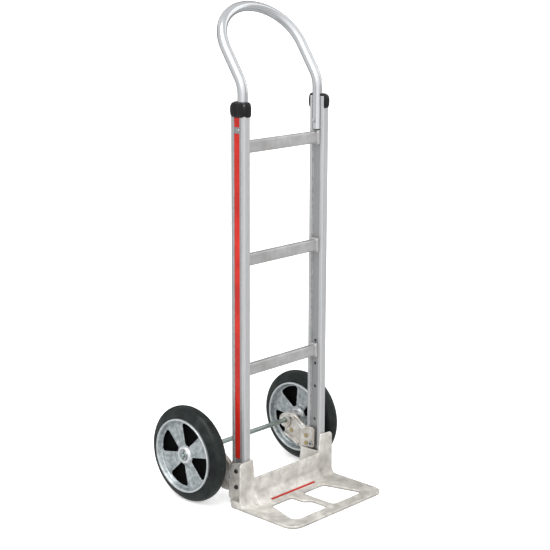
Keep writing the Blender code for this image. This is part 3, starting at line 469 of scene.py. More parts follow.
def moulded_finish(name, light, dark, rough, scale, coat=0.0):
    """Moulded rubber or vinyl: a faint orange-peel skin with rubbed and dusty places."""
    n = Nodes(name)
    place = n.place()
    cloud = n.noise(place, scale, 4, 0.6, 0.3)
    fine = n.noise(place, 1300.0, 2, 0.5)
    wear = n.ramp(n.noise(place, scale * 3.1, 5, 0.7), 0.52, 0.72)
    n.set(Base_Color=n.mix(n.ramp(n.maths("ADD", cloud, n.maths("MULTIPLY", wear, 0.15)), 0.35, 0.8), dark, light))
    n.set(Roughness=n.maths("ADD", n.ramp(cloud, 0.3, 0.7, rough - 0.05, rough + 0.06), n.maths("MULTIPLY", wear, 0.08)))
    n.set(Normal=n.bump(n.maths("ADD", fine, n.maths("MULTIPLY", cloud, 1.5)), 0.00012, 0.6))
    n.shader.inputs["Coat Weight"].default_value = coat
    n.shader.inputs["Specular IOR Level"].default_value = 0.22
    n.shader.inputs["Coat Roughness"].default_value = 0.15
    return n.material


def plated_steel(name, light, dark, tint, rough=0.32):
    """Zinc-plated steel: cloudy plating with faint colour shifts, and painted shade darkening the corners."""
    n = Nodes(name)
    place = n.place()
    cloud = n.noise(place, 190.0, 5, 0.65, 0.6)
    shift = n.noise(place, 80.0, 3)
    colour = n.mix(n.ramp(cloud, 0.35, 0.65), dark, light)
    colour = n.mix(n.ramp(shift, 0.45, 0.7, 0.0, 0.5), colour, tint)
    # Painted shade: corners darkened by ambient occlusion towards a darker plate colour.
    colour = n.mix(n.ramp(n.crevice(0.004), 0.2, 0.8, 0.6, 0.0), colour, tuple(channel * 0.3 for channel in dark))
    n.set(Base_Color=colour, Metallic=0.95, Roughness=n.ramp(cloud, 0.3, 0.7, rough - 0.07, rough + 0.1))
    n.set(Normal=n.bump(n.noise(place, 900.0, 3), 0.00005, 0.5))
    return n.material


# The channel argument places painted shade: middle and half width along Y in metres, and how far it is darkened.
rail_metal = drawn_metal(
    "rail_extruded", (0.56, 0.565, 0.57), (0.43, 0.435, 0.445), 0.46, (420, 420, 2.2), 0.6,
    channel=(RAIL_MIDDLE * MM, CHANNEL_WIDTH / 2 * MM, 0.5),
)
handle_metal = drawn_metal("handle_drawn", (0.76, 0.775, 0.79), (0.60, 0.62, 0.64), 0.20, (70, 3.0, 1), source="UV")
brace_metal = cast_metal("brace_cast", (0.68, 0.675, 0.675), (0.54, 0.535, 0.535), (0.30, 0.29, 0.28), 0.42, 1500.0, 0.9, 0.0001)
nose_metal = cast_metal("nose_cast", (0.82, 0.80, 0.757), (0.56, 0.535, 0.495), (0.13, 0.11, 0.09), 0.50, metallic=0.6)
bracket_metal = cast_metal("bracket_cast", (0.86, 0.85, 0.82), (0.46, 0.415, 0.36), (0.09, 0.065, 0.045), 0.42, metallic=0.7)
hub_metal = hub_finish()
tyre_rubber = tyre_finish()
cap_rubber = moulded_finish("cap_rubber", (0.007, 0.007, 0.0075), (0.002, 0.002, 0.002), 0.26, 60.0, 0.15)
red_vinyl = moulded_finish("strip_red", (0.53, 0.021, 0.008), (0.35, 0.010, 0.006), 0.36, 14.0, 0.12)
zinc = plated_steel("zinc_plate", (0.60, 0.63, 0.63), (0.42, 0.45, 0.45), (0.52, 0.57, 0.60))
dark_zinc = plated_steel("dark_plate", (0.10, 0.105, 0.10), (0.04, 0.042, 0.04), (0.08, 0.085, 0.08), 0.45)
axle_zinc = plated_steel("axle_plate", (0.46, 0.53, 0.505), (0.31, 0.365, 0.35), (0.40, 0.49, 0.47), 0.34)
yellow_zinc = plated_steel("yellow_plate", (0.62, 0.52, 0.27), (0.40, 0.33, 0.17), (0.55, 0.42, 0.33))
ground_steel = drawn_metal("bearing_ground", (0.66, 0.665, 0.68), (0.52, 0.525, 0.54), 0.22, (60, 60, 60))


# ---------------------------------------------------------------- rails, strips and caps


def rail_shape():
    """The right rail: rounded beads front and rear, a channel on each side, hollow, with its holes."""
    half_channel = CHANNEL_WIDTH / 2
    half_strip = STRIP_CHANNEL_WIDTH / 2
    bead, lip = 4.5, 1.4
    corners = [
        (RAIL_INNER, 0, bead),
        (RAIL_OUTER, 0, bead),
        (RAIL_OUTER, STRIP_MIDDLE - half_strip, lip),
        (WEB_OUTER, STRIP_MIDDLE - half_strip, 0.8),
        (WEB_OUTER, STRIP_MIDDLE + half_strip, 0.8),
        (RAIL_OUTER, STRIP_MIDDLE + half_strip, lip),
        (RAIL_OUTER, RAIL_DEPTH, bead),
        (RAIL_INNER, RAIL_DEPTH, bead),
        (RAIL_INNER, RAIL_MIDDLE + half_channel, lip),
        (WEB_INNER, RAIL_MIDDLE + half_channel, 1.6),
        (WEB_INNER, RAIL_MIDDLE - half_channel, 1.6),
        (RAIL_INNER, RAIL_MIDDLE - half_channel, lip),
    ]
    wall = 2.8
    half_cavity = 13.5
    cavity = [
        (WEB_INNER + wall, RAIL_MIDDLE - half_cavity, 1),
        (WEB_OUTER - wall, RAIL_MIDDLE - half_cavity, 1),
        (WEB_OUTER - wall, RAIL_MIDDLE + half_cavity, 1),
        (WEB_INNER + wall, RAIL_MIDDLE + half_cavity, 1),
    ]
    mesh = prism(rounded(corners, 6), RAIL_FOOT, RAIL_TOP, holes=[rounded(cavity, 3)])
    holes = [(RAIL_MIDDLE, HANDLE_BOLT_Z)]
    holes += [(BRACE_BOLT_Y, height) for height in BRACE_HEIGHTS.values()]
    holes += [(RAIL_MIDDLE, height) for height in NOSE_BOLTS.values()]
    holes += [(BRACKET_BOLT_Y, height) for height in BRACKET_BOLTS.values()]
    tools = [rod(BOLT_HOLE, RAIL_INNER - 5, RAIL_OUTER + 5, centre=centre, count=24) for centre in holes]
    for height in ACCESSORY_HOLES:
        tools.append(rod(4, RAIL_INNER - 5, WEB_INNER + wall + 2, centre=(RAIL_MIDDLE, height), count=36))
    return cut(mesh, *tools)


def strip_shape(foot, top):
    """A domed strip with softened long edges and slightly rounded ends."""
    half_width = STRIP_CHANNEL_WIDTH / 2 - 0.3
    back = WEB_OUTER + 0.3
    edge = RAIL_OUTER - 1.1
    rings = []
    for z, inset in ((foot, 0.5), (foot + 0.25, 0.12), (foot + 0.8, 0), (top - 0.8, 0), (top - 0.25, 0.12), (top, 0.5)):
        ring = [(back, STRIP_MIDDLE + half_width - inset, z), (back, STRIP_MIDDLE - half_width + inset, z)]
        for step in range(17):
            share = step / 8 - 1
            x = edge + (1 - abs(share) ** 3.2) * 1.0 - inset
            ring.append((x, STRIP_MIDDLE + share * (half_width - inset), z))
        rings.append(ring)
    return loft(rings)


def cap_shape():
    """A barrel-sided rubber cap with a groove down its outer side, open on the inner side."""
    low, high = cad_span("rail_cap_right", 2)
    full_wall = cad_span("rail_cap_right", 0)[1] - RAIL_OUTER
    rings = []
    steps = 12
    for step in range(steps + 1):
        share = 2 * step / steps - 1
        fullness = math.sqrt(max(0, 1 - abs(share) ** 2.4))
        wall = full_wall - (1 - fullness) * (3.2 if share < 0 else 7.5)
        corners = [
            (RAIL_INNER, -wall, 3),
            (RAIL_OUTER + wall, -wall, 12),
            (RAIL_OUTER + wall, RAIL_DEPTH + wall, 12),
            (RAIL_INNER, RAIL_DEPTH + wall, 3),
        ]
        z = low + (high - low) * step / steps
        rings.append([(*point, z) for point in rounded(corners, 8)])
    mesh = loft(rings)
    socket = rounded([
        (RAIL_INNER - 5, -0.3, 0),
        (RAIL_OUTER + 0.3, -0.3, 4.5),
        (RAIL_OUTER + 0.3, RAIL_DEPTH + 0.3, 4.5),
        (RAIL_INNER - 5, RAIL_DEPTH + 0.3, 0),
    ])
    room = TUBE_RADIUS + 0.6
    mouth = [
        (RAIL_INNER - 20, RAIL_MIDDLE - room),
        (LEG_X, RAIL_MIDDLE - room),
        (LEG_X, RAIL_MIDDLE + room),
        (RAIL_INNER - 20, RAIL_MIDDLE + room),
    ]
    groove = moved(rod(9, low - 5, high + 5, "Z", (0, 0), 48), Matrix.Translation((RAIL_OUTER + full_wall + 7, RAIL_MIDDLE, 0)))
    mesh = cut(
        mesh,
        prism(socket, low - 5, RAIL_TOP + 0.3),
        prism(mouth, low - 6, high + 6),
        rod(room, low - 7, high + 7, "Z", (LEG_X, RAIL_MIDDLE), 48),
        groove,
    )
    return softened(mesh, 0.8, 3)


# ---------------------------------------------------------------- braces and handle


def brace_shape():
    """A channel-section brace with a rounded pad at each end, centred on its own height."""
    low, high = cad_span("cross_brace_top", 2)
    pad_half = (high - low) / 2
    half, wall = 15.25, 3
    back = BRACE_FRONT + 13.6
    section = [
        (BRACE_FRONT, -half, 3.5),
        (back, -half, 1),
        (back, -half + wall, 1),
        (BRACE_FRONT + wall, -half + wall, 2.5),
        (BRACE_FRONT + wall, half - wall, 2.5),
        (back, half - wall, 1),
        (back, half, 1),
        (BRACE_FRONT, half, 3.5),
    ]
    mesh = prism(rounded(section, 5), -PAD_INNER - 1, PAD_INNER + 1, "YZX")
    half_width = CHANNEL_WIDTH / 2 - 0.3
    pad = rounded([
        (RAIL_MIDDLE - half_width, -pad_half, 3),
        (RAIL_MIDDLE + half_width, -pad_half, 3),
        (RAIL_MIDDLE + half_width, pad_half, 3),
        (RAIL_MIDDLE - half_width, pad_half, 3),
    ], 5)
    for side in (-1, 1):
        near, far = sorted((side * PAD_INNER, side * (WEB_INNER - 0.3)))
        mesh = joined(mesh, prism(pad, near, far, "YZX"))
        mesh = cut(mesh, rod(BOLT_HOLE, near - 5, far + 5, centre=(BRACE_BOLT_Y, 0), count=24))
    return softened(mesh, 1.1, 3)


def handle_path():
    """The loop's centreline, finely stepped, from one leg's foot over the arch to the other's."""
    points = [Vector((-LEG_X, RAIL_MIDDLE, LEG_FOOT + (BEND_START - LEG_FOOT) * step / 14)) for step in range(15)]
    for step in range(1, 11):
        angle = BEND_ANGLE * step / 10
        back, up = BEND_RADIUS * (1 - math.cos(angle)), BEND_RADIUS * math.sin(angle)
        points.append(Vector((-LEG_X, RAIL_MIDDLE + back, BEND_START + up)))
    slope = Vector((0, math.sin(BEND_ANGLE), math.cos(BEND_ANGLE)))
    foot = points[-1]
    points += [foot + slope * STRAIGHT_AFTER_BEND * step / 10 for step in range(1, 11)]
    springing = points[-1]
    half = points[:]
    for step in range(1, 72):
        angle = math.pi * (1 - step / 72)
        rise = slope * ARCH_HEIGHT * math.sin(angle)
        points.append(Vector((LEG_X * math.cos(angle), springing.y, springing.z)) + rise)
    return points + [Vector((-point.x, point.y, point.z)) for point in reversed(half)]


def tube(path, radius, count=40):
    """A round bar along a path, with UVs running round it and along it in metres."""
    bm = bmesh.new()
    uv_layer = bm.loops.layers.uv.new("tube")
    rings, lengths, length = [], [], 0.0
    for index, point in enumerate(path):
        ahead, behind = path[min(index + 1, len(path) - 1)], path[max(index - 1, 0)]
        tangent = ((ahead - point).normalized() + (point - behind).normalized()).normalized()
        up = Vector((0, math.cos(BEND_ANGLE / 2), -math.sin(BEND_ANGLE / 2)))
        sideways = tangent.cross(up).normalized()
        up = sideways.cross(tangent)
        ring = []
        for step in range(count):
            angle = 2 * math.pi * (step + 0.5) / count
            ring.append(bm.verts.new(point + (sideways * math.cos(angle) + up * math.sin(angle)) * radius))
        length += (point - behind).length
        rings.append(ring)
        lengths.append(length)
    for row, (first, second) in enumerate(zip(rings, rings[1:])):
        for index in range(count):
            face = bm.faces.new((first[index - 1], first[index], second[index], second[index - 1]))
            corner_uvs = ((index - 1, row), (index, row), (index, row + 1), (index - 1, row + 1))
            for corner, (around, along) in zip(face.loops, corner_uvs):
                corner[uv_layer].uv = (around / count, lengths[along] * MM)
    bm.faces.new(rings[0])
    bm.faces.new(rings[-1])
    return mesh_of(bm)


def handle_shape():
    path = handle_path()
    drop = Vector((0, 0, 5))
    bore = [path[0] - drop] + path[1:-1] + [path[-1] - drop]
    tools = [tube(bore, TUBE_RADIUS - 2.2, 24)]
    for side in (-1, 1):
        near, far = sorted((side * (WEB_INNER - 0.3), side * (LEG_X + 2 * TUBE_RADIUS)))
        slab = [(near, RAIL_MIDDLE - 20), (far, RAIL_MIDDLE - 20), (far, RAIL_MIDDLE + 20), (near, RAIL_MIDDLE + 20)]
        tools.append(prism(slab, LEG_FOOT - 10, RAIL_TOP + 0.3))
        near, far = sorted((side * (LEG_X - 2 * TUBE_RADIUS), side * (LEG_X + TUBE_RADIUS)))
        tools.append(rod(BOLT_HOLE, near, far, centre=(RAIL_MIDDLE, HANDLE_BOLT_Z), count=24))
    return cut(tube(path, TUBE_RADIUS), *tools)


# ---------------------------------------------------------------- nose casting


def sided(corners, side, steps=6):
    return [Vector((side * u, v)) for u, v in rounded(corners, steps)]


def nose_window(side):
    front, rear = -156, -45
    if side > 0:
        return rounded([(12, front, 10), (131, front, 15), (97, rear, 10), (12, rear, 9)])
    return rounded([
        (-8, front, 10),
        (-137, front, 16),
        (-104, rear, 10),
        (-28, rear, 8),
        (-26, -84, 12),
        (-8, -100, 10),
    ])


def socket_shapes(side):
    """The upright, cheeks, rear wall, foot and base fillet round one rail."""
    cheek_in = (RAIL_INNER - 6.7, RAIL_INNER - 0.3)
    cheek_out = (RAIL_OUTER + 0.3, RAIL_OUTER + 6.8)
    face = [(119, 4, 0), (176.5, 4, 0), (176, 124, 11), (129, 127, 5), (122, 60, 20)]
    outer = [(-5, 4, 0), (47, 4, 0), (47, 108, 9), (16, 119, 8), (-5, 120, 0)]
    inner = [(-5, 4, 0), (46, 4, 0), (69, 36, 12), (62, 78, 6), (-5, 79, 0)]
    foot = [(cheek_in[0] + 1, -4, 0), (176, -4, 0), (176, 33, 11), (cheek_in[0] + 1, 33, 0)]
    fillet = [(-19, 6, 0), (-11, 9.5, 12), (-5, 22, 0), (-2, 6, 0)]
    rear = RAIL_DEPTH + 0.3
    back = [(cheek_in[0] + 1, rear, 0), (cheek_out[1], rear, 0), (cheek_out[1], rear + 6, 3), (cheek_in[0] + 1, rear + 6, 0)]
    corner = [(cheek_out[0] + 0.5, 40, 0), (cheek_out[1], 40, 0), (cheek_out[1], 52, 0), (cheek_out[0] + 0.5, 52, 0)]
    return [
        prism(sided(face, side), -5.5, -0.3, "XZY"),
        prism(rounded(outer), *sorted((side * cheek_out[0], side * cheek_out[1])), "YZX"),
        prism(rounded(inner), *sorted((side * cheek_in[0], side * cheek_in[1])), "YZX"),
        prism(sided(foot, side), 3, RAIL_FOOT - 4),
        prism(sided(back, side), 16, 70),
        prism(sided(corner, side), 16.5, 69.5),
        prism(rounded(fillet), *sorted((side * 120, side * 176.3)), "YZX"),
    ]


def nose_shape():
    """The cast toe plate with its windows, back wall and rail sockets."""
    front, back, notch, inner = -NOSE_REACH, 34, 9, 116
    width = NOSE_HALF_WIDTH
    plate = rounded([
        (-width, front, 34),
        (width, front, 34),
        (width, back, 12),
        (inner, back, 3),
        (inner, notch, 6),
        (-inner, notch, 6),
        (-inner, back, 3),
        (-width, back, 12),
    ], 12)
    mesh = prism(plate, 0, 7, holes=[nose_window(-1), nose_window(1)])
    wall = [(-40, 5, 0), (-16, 13, 10), (-6, 30, 8), (-4.5, 73, 2.5), (2.5, 73, 2.5), (5, 5, 0)]
    mesh = joined(mesh, prism(rounded(wall, 8), -124, 124, "YZX"))
    for side in (-1, 1):
        mesh = joined(mesh, *socket_shapes(side))
        near, far = sorted((side * (RAIL_INNER - 12), side * (RAIL_OUTER + 12)))
        for height in NOSE_BOLTS.values():
            mesh = cut(mesh, rod(BOLT_HOLE, near, far, centre=(RAIL_MIDDLE, height), count=24))
    return softened(mesh, 1.5, 3)


def nose_stripe_shape():
    """A plain painted stripe lying on the ramp."""
    start, end = Vector((-40, 5)), Vector((-16, 13))
    along = (end - start).normalized()
    normal = Vector((-along.y, along.x))
    rings = []
    for x, inset in ((-82, 0.8), (-81.6, 0.25), (-80.8, 0), (82.8, 0), (83.6, 0.25), (84, 0.8)):
        low = start + along * (12.5 + inset) + normal * 0.3
        high = start + along * (18.5 - inset) + normal * 0.3
        ring = [low, high, high + normal * 0.3, high - along * 0.4 + normal * 0.5, low + along * 0.4 + normal * 0.5]
        ring.append(low + normal * 0.3)
        rings.append([(x, *point) for point in ring])
    return loft(rings)


# ---------------------------------------------------------------- brackets and axle


def bracket_shape():
    """The right wheel bracket: inner web, saddle, ribbed arm, boss and holes."""
    web = (RAIL_INNER - 7.8, RAIL_INNER - 0.3)
    rear = RAIL_DEPTH + 0.3
    inner = [(16, 84, 6), (64, 82, 5), (64, 118, 10), (44, 139, 10), (16, 139, 8)]
    arm = [
        (rear + 1, 73.5, 0),
        (rear + 6.8, 73.5, 0),
        (rear + 6.8, 34, 5),
        (84, 33, 12),
        (90, 64, 10),
        (112, 77, 14),
        (146, 88, 8),
        (AXLE_Y + 8, AXLE_Z + 12, 4),
        (AXLE_Y - 4, AXLE_Z + 21, 10),
        (112, 150, 14),
        (rear + 1, 108, 0),
    ]
    ribs = (
        [(93, 66.5, 0), (112, 77.7, 10), (145, 88.5, 2), (146, 94, 2), (110, 83, 10), (92, 72, 0)],
        [(58, 108.7, 0), (112, 148.2, 8), (136, 146.8, 0), (136, 141, 0), (114, 142.5, 6), (62, 104.5, 0)],
    )
    cheek = RAIL_INNER - 5.7
    saddle = [(cheek, 82.5, 0), (158.5, 74.5, 0), (158.5, 106, 4), (cheek, 117, 4)]
    mesh = joined(
        prism(rounded(inner), *web, "YZX"),
        prism(rounded(arm), *BRACKET_ARM, "YZX"),
        *(prism(rounded(rib), ARM_RIB_INNER, BRACKET_ARM[0] + 1, "YZX") for rib in ribs),
        prism(rounded(saddle), rear, rear + 7, "XZY"),
        rod(BOSS_RADIUS, *BOSS_SPAN, centre=(AXLE_Y, AXLE_Z), count=64),
    )
    near, far = web[0] - 5, web[1] + 5
    tools = [rod(AXLE_RADIUS + 0.3, BOSS_SPAN[0] - 5, BOSS_SPAN[1] + 5, centre=(AXLE_Y, AXLE_Z), count=48)]
    holes = [(BRACKET_BOLT_Y, height) for height in BRACKET_BOLTS.values()] + [(RAIL_MIDDLE, NOSE_BOLTS["upper"])]
    tools += [rod(BOLT_HOLE, near, far, centre=centre, count=24) for centre in holes]
    tools.append(rod(BOLT_HOLE, BRACKET_ARM[0] - 3, BRACKET_ARM[1] + 5, centre=ARM_BOLT, count=24))
    return softened(cut(mesh, *tools), 1.0, 3)


def rounded_bar(profile_end, radius, count=48):
    """A lathe profile for a plain bar along X with softened ends."""
    edge = 0.9
    arc = [(profile_end - edge + edge * math.sin(a), radius - edge + edge * math.cos(a)) for a in np.linspace(0, math.pi / 2, 4)]
    right = arc + [(profile_end, 0)]
    left = [(-x, r) for x, r in reversed(right)]
    return lathe(left + right, count)


def axle_shape():
    mesh = rounded_bar(AXLE_END, AXLE_RADIUS)
    tools = [rod(1.6, -14, 14, "Z", (side * cad_middle("cotter_pin_right", 0), 0), 20) for side in (-1, 1)]
    return cut(mesh, *tools)


def ring_shape(half, inner, outer, edge=0.35, count=64):
    """A washer or sleeve with softened edges."""
    return lathe([
        (-half, inner + edge),
        (-half, outer - edge),
        (-half + edge, outer),
        (half - edge, outer),
        (half, outer - edge),
        (half, inner + edge),
        (half - edge, inner),
        (-half + edge, inner),
    ], count)


def cotter_shape():
    """A split pin bent from wire: an eye above the axle and two spread legs below."""
    wire = 1.15
    gap = 0.05
    top = AXLE_RADIUS + 2.2

    def leg(sign, flare, length):
        eye = [Vector((0, sign * 3.0 * math.sin(a), top + 2.6 - 2.6 * math.cos(a))) for a in np.linspace(math.pi, 0.35, 10)]
        shank = [Vector((0, sign * gap, top - 1.5)), Vector((0, sign * gap, -AXLE_RADIUS - 1.0))]
        bend = [Vector((0, sign * (gap + flare * t * t), -AXLE_RADIUS - 1.0 - length * t)) for t in (0.25, 0.5, 0.75, 1)]
        return eye + shank + bend

    shapes = []
    for sign, flare, length in ((1, 3.2, 3.4), (-1, 1.2, 4.2)):
        path = leg(sign, flare, length)
        rings = []
        for index, point in enumerate(path):
            ahead, behind = path[min(index + 1, len(path) - 1)], path[max(index - 1, 0)]
            tangent = (ahead - behind).normalized()
            across = Vector((1, 0, 0))
            other = tangent.cross(across).normalized()
            rings.append([point + (across * math.cos(a) + other * math.sin(a)) * wire for a in np.linspace(0, 2 * math.pi, 12, endpoint=False)])
        shapes.append(loft(rings))
    return softened(joined(shapes[0], shapes[1]), 0.28, 1)


# ---------------------------------------------------------------- wheels


def tyre_shape():
    """A solid tyre with a domed tread, a bead lip and a fine ridge round each shoulder."""
    half, bead = TYRE_HALF, RIM_RADIUS + 0.3
    depth = WHEEL_RADIUS - bead
    right = [(half - 2.2, bead), (half - 0.9, bead + 0.4), (half - 0.35, bead + 1.4)]
    steps = 40
    for step in range(2, steps + 1):
        angle = math.pi / 2 * step / steps
        across = math.cos(angle) ** (2 / TYRE_ROUNDNESS)
        outwards = math.sin(angle) ** (2 / TYRE_ROUNDNESS)
        lift = 0.0 if step in (12, 15) else -0.35
        if step in (13, 14):
            lift = 0.0
        length = math.hypot(half * across, depth * outwards)
        scale = 1 + lift / length
        right.append((half * across * scale, bead + depth * outwards * scale))
    left = [(-x, radius) for x, radius in reversed(right[:-1])]
    return lathe(right + left, 192)


DISC_FACES = (-14, 16)
POCKET_FLOORS = (0.5, 3.5)
POCKET_FIRST_ANGLES = {"left": math.radians(17), "right": math.radians(65)}


def pocket_outline(angle):
    near, near_half, far = 27, 6.5, 85
    far_half, far_side = far * math.sin(math.radians(24)), far * math.cos(math.radians(24))
    corners = [
        (near, -near_half, 4),
        (far_side, -far_half, 7),
        (far + 1.5, 0, 60),
        (far_side, far_half, 7),
        (near, near_half, 4),
    ]
    return [turn(point, angle) for point in rounded(corners, 6)]


def inside_outline(outline, points, margin=0.0):
    """Which points lie inside a convex outline grown by a margin."""
    inside = np.ones(len(points), bool)
    for index, end in enumerate(outline):
        start = outline[index - 1]
        edge = (end - start).normalized()
        offset = (points[:, 0] - start.x) * edge.y - (points[:, 1] - start.y) * edge.x
        inside &= offset < margin
    return inside


def panel_outline(angle, grow=0.0):
    """The recessed middle of one spoke."""
    corners = [
        (33 - grow, -8.5 - grow, 4),
        (79 + grow, -19 - grow, 4),
        (81.5 + grow, 0, 70),
        (79 + grow, 19 + grow, 4),
        (33 - grow, 8.5 + grow, 4),
    ]
    return [turn(point, angle) for point in rounded(corners, 6)]


def hub_shape(first_angle):
    """The right wheel's centre, about its own middle, with +X outwards."""
    low_face, high_face = DISC_FACES
    inside = RIM_RADIUS - 8
    edge = cad_span("hub_right", 0)[1] - WHEEL_X
    quarter = math.pi / 2
    pockets = [pocket_outline(first_angle + index * quarter) for index in range(4)]
    spokes = [first_angle + (index + 0.5) * quarter for index in range(4)]
    disc, core = circle(inside + 3, 120), circle(18, 60)
    rim_side = [(edge - 0.8, RIM_RADIUS), (edge, RIM_RADIUS - 0.8), (edge, inside + 4.2), (edge - 0.7, inside + 3.2)]
    rim_side += [(edge - 2.2, inside + 2.4), (high_face + 4, inside), (high_face + 1.2, inside - 1.2)]
    rim_side.append((high_face - 1, inside - 4))
    rim_far = [(-edge + 0.8, RIM_RADIUS), (-edge, RIM_RADIUS - 0.8), (-edge, inside + 4.2), (-edge + 0.7, inside + 3.2)]
    rim_far += [(-edge + 2.2, inside + 2.4), (low_face - 4, inside), (low_face - 1.2, inside - 1.2)]
    rim_far.append((low_face + 1, inside - 4))
    boss_side = [(HUB_HALF, 15.2), (HUB_HALF, 19.5), (HUB_HALF - 1.5, 21), (high_face + 3, 21.4), (high_face + 0.8, 22.8)]
    boss_side.append((high_face - 1, 25.5))
    boss_far = [(low_face + 1, 25.5), (low_face - 0.8, 22.8), (low_face - 3, 21.4), (-HUB_HALF + 1.5, 21)]
    boss_far += [(-HUB_HALF, 19.5), (-HUB_HALF, 15.2)]
    mesh = gathered(
        lathe(rim_side + rim_far[::-1], 144),
        lathe(boss_side + boss_far, 96),
        prism(disc, low_face, high_face, "YZX", [core, *pockets, *(panel_outline(angle) for angle in spokes)]),
        prism(disc, *POCKET_FLOORS, "YZX", [core]),
        *(prism(panel_outline(angle, 1.5), low_face + 1.8, high_face - 1.8, "YZX") for angle in spokes),
    )
    mesh = softened(mesh, 1.15, 3)
    points = np.array([vertex.co[:] for vertex in mesh.vertices])
    depth = np.minimum(high_face - points[:, 0], points[:, 0] - low_face)
    within = np.zeros(len(points), bool)
    for outline in pockets:
        within |= inside_outline(outline, points[:, 1:], 0.7)
    mask = np.clip((depth - 0.5) / 0.8, 0, 1) * within
    pocket = mesh.attributes.new("pocket", "FLOAT", "POINT")
    pocket.data.foreach_set("value", mask.astype(np.float32))
    return mesh


def bearing_shape():
    """A shielded bearing: outer race, recessed shield and inner race."""
    half, bore, outer = 6, AXLE_RADIUS + 0.08, 14.9
    right = [(half, bore + 0.4), (half, 9.0), (half - 0.5, 9.2), (half - 0.6, 9.6), (half - 0.35, 12.6)]
    right += [(half - 0.1, 12.8), (half, 13.2), (half, outer - 0.6), (half - 0.6, outer)]
    left = [(-x, radius) for x, radius in reversed(right)]
    return lathe([(-half + 0.4, bore), (half - 0.4, bore)] + right + left, 64)


# ---------------------------------------------------------------- fasteners


def threads(low, high, radius):
    """Thread-like steps of a lathe profile along X."""
    count = max(2, int((high - low) / 1.0))
    points = []
    for index in range(count):
        x = low + (high - low) * index / count
        pitch = (high - low) / count
        points += [(x, radius - 0.45), (x + pitch * 0.35, radius), (x + pitch * 0.6, radius)]
    return points


def hexagon(height, radius=5.6, both=False):
    """A hexagon along X from 0 with its corners chamfered at the outer end, or at both."""
    mesh = prism([turn((radius, 0), math.pi / 3 * step) for step in range(6)], 0, height, "YZX")
    start = [(-1, 0), (-1, radius + 2)] if not both else [(-1, 0), (0, 0), (0, radius * 0.88), (0.9, radius + 0.1)]
    cone = lathe(start + [(height - 0.9, radius + 0.1), (height, radius * 0.86), (height + 0.01, 0)], 48)
    return bevelled(combined(mesh, cone, "INTERSECT"), 0.18, 2, 25)


def hex_bolt_shape(length):
    """A hexagon-head bolt along X: head from 0 upwards, shank below with threads near its end."""
    flange = lathe([(-0.01, 0), (-0.01, 5.1), (0.45, 5.1), (0.45, 0)], 40)
    shank = [(-length, 0), (-length, 2.3)] + threads(-length + 0.5, -length + min(12, length - 2), 2.95) + [(-1, 2.95), (0.2, 2.95), (0.2, 0)]
    return joined(hexagon(4), flange, lathe(shank, 24))


def round_bolt_shape(length):
    """A button-head bolt along X with a hexagon socket."""
    dome = [(0, 0), (0, 4.5)] + [(2.6 * math.sin(a), 0.6 + 4.0 * math.cos(a)) for a in np.linspace(0.12, 1.45, 8)] + [(2.6, 0)]
    head = cut(lathe(dome, 48), prism([turn((2.0, 0), math.pi / 3 * step) for step in range(6)], 1.1, 5, "YZX"))
    shank = [(-length, 0), (-length, 2.3)] + threads(-length + 0.5, -length + min(12, length - 2), 2.95) + [(-1, 2.95), (0.2, 2.95), (0.2, 0)]
    return joined(head, lathe(shank, 24))


def nut_shape(height=4.6):
    return cut(hexagon(height, both=True), rod(3.25, -3, height + 3, count=32))


# ---------------------------------------------------------------- assembly


def both_sides(shape):
    return {"right": shape, "left": mirrored(shape)}


def place_frame():
    rails = both_sides(rail_shape())
    caps = both_sides(cap_shape())
    strips = both_sides(strip_shape(*cad_span("rail_strip_right", 2)))
    short_strips = both_sides(strip_shape(*cad_span("rail_strip_upper_right", 2)))
    brackets = both_sides(bracket_shape())
    for word in SIDES:
        piece(f"rail_{word}_extrusion", rails[word], rail_metal, "frame", [f"rail_{word}"])
        piece(f"rail_{word}_cap", caps[word], cap_rubber, "frame", [f"rail_cap_{word}"], sharp=60)
        piece(f"rail_{word}_strip", strips[word], red_vinyl, "frame", [f"rail_strip_{word}"])
        piece(f"rail_{word}_strip_top", short_strips[word], red_vinyl, "frame", [f"rail_strip_upper_{word}"])
        piece(f"bracket_{word}_casting", brackets[word], bracket_metal, "frame", [f"wheel_bracket_{word}"], sharp=60)
    brace = brace_shape()
    for level, height in BRACE_HEIGHTS.items():
        piece(f"brace_{level}_casting", brace.copy(), brace_metal, "frame", [f"cross_brace_{level}"], (0, 0, height), 60)
    piece("handle_tube", handle_shape(), handle_metal, "frame", ["loop_handle"])
    piece("nose_casting", nose_shape(), nose_metal, "frame", ["nose_plate"], sharp=60)
    piece("nose_paint_stripe", nose_stripe_shape(), red_vinyl, "frame", ["nose_stripe"])


def place_axle():
    piece("axle_rod", axle_shape(), axle_zinc, "frame", ["axle"], (0, AXLE_Y, AXLE_Z))
    washer = ring_shape(0.8, AXLE_RADIUS + 0.3, 12.5)
    cotter = cotter_shape()
    for word in SIDES:
        for place in ("inner", "outer"):
            node = f"washer_{place}_{word}"
            origin = (cad_middle(node, 0), AXLE_Y, AXLE_Z)
            piece(f"{node}_plated", washer.copy(), zinc, "frame", [node], origin)
        node = f"cotter_pin_{word}"
        piece(f"{node}_wire", cotter.copy(), zinc, "frame", [node], (cad_middle(node, 0), AXLE_Y, AXLE_Z), 60)
        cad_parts[f"bearing_spacer_{word}"].data.materials.clear()
        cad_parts[f"bearing_spacer_{word}"].data.materials.append(zinc)


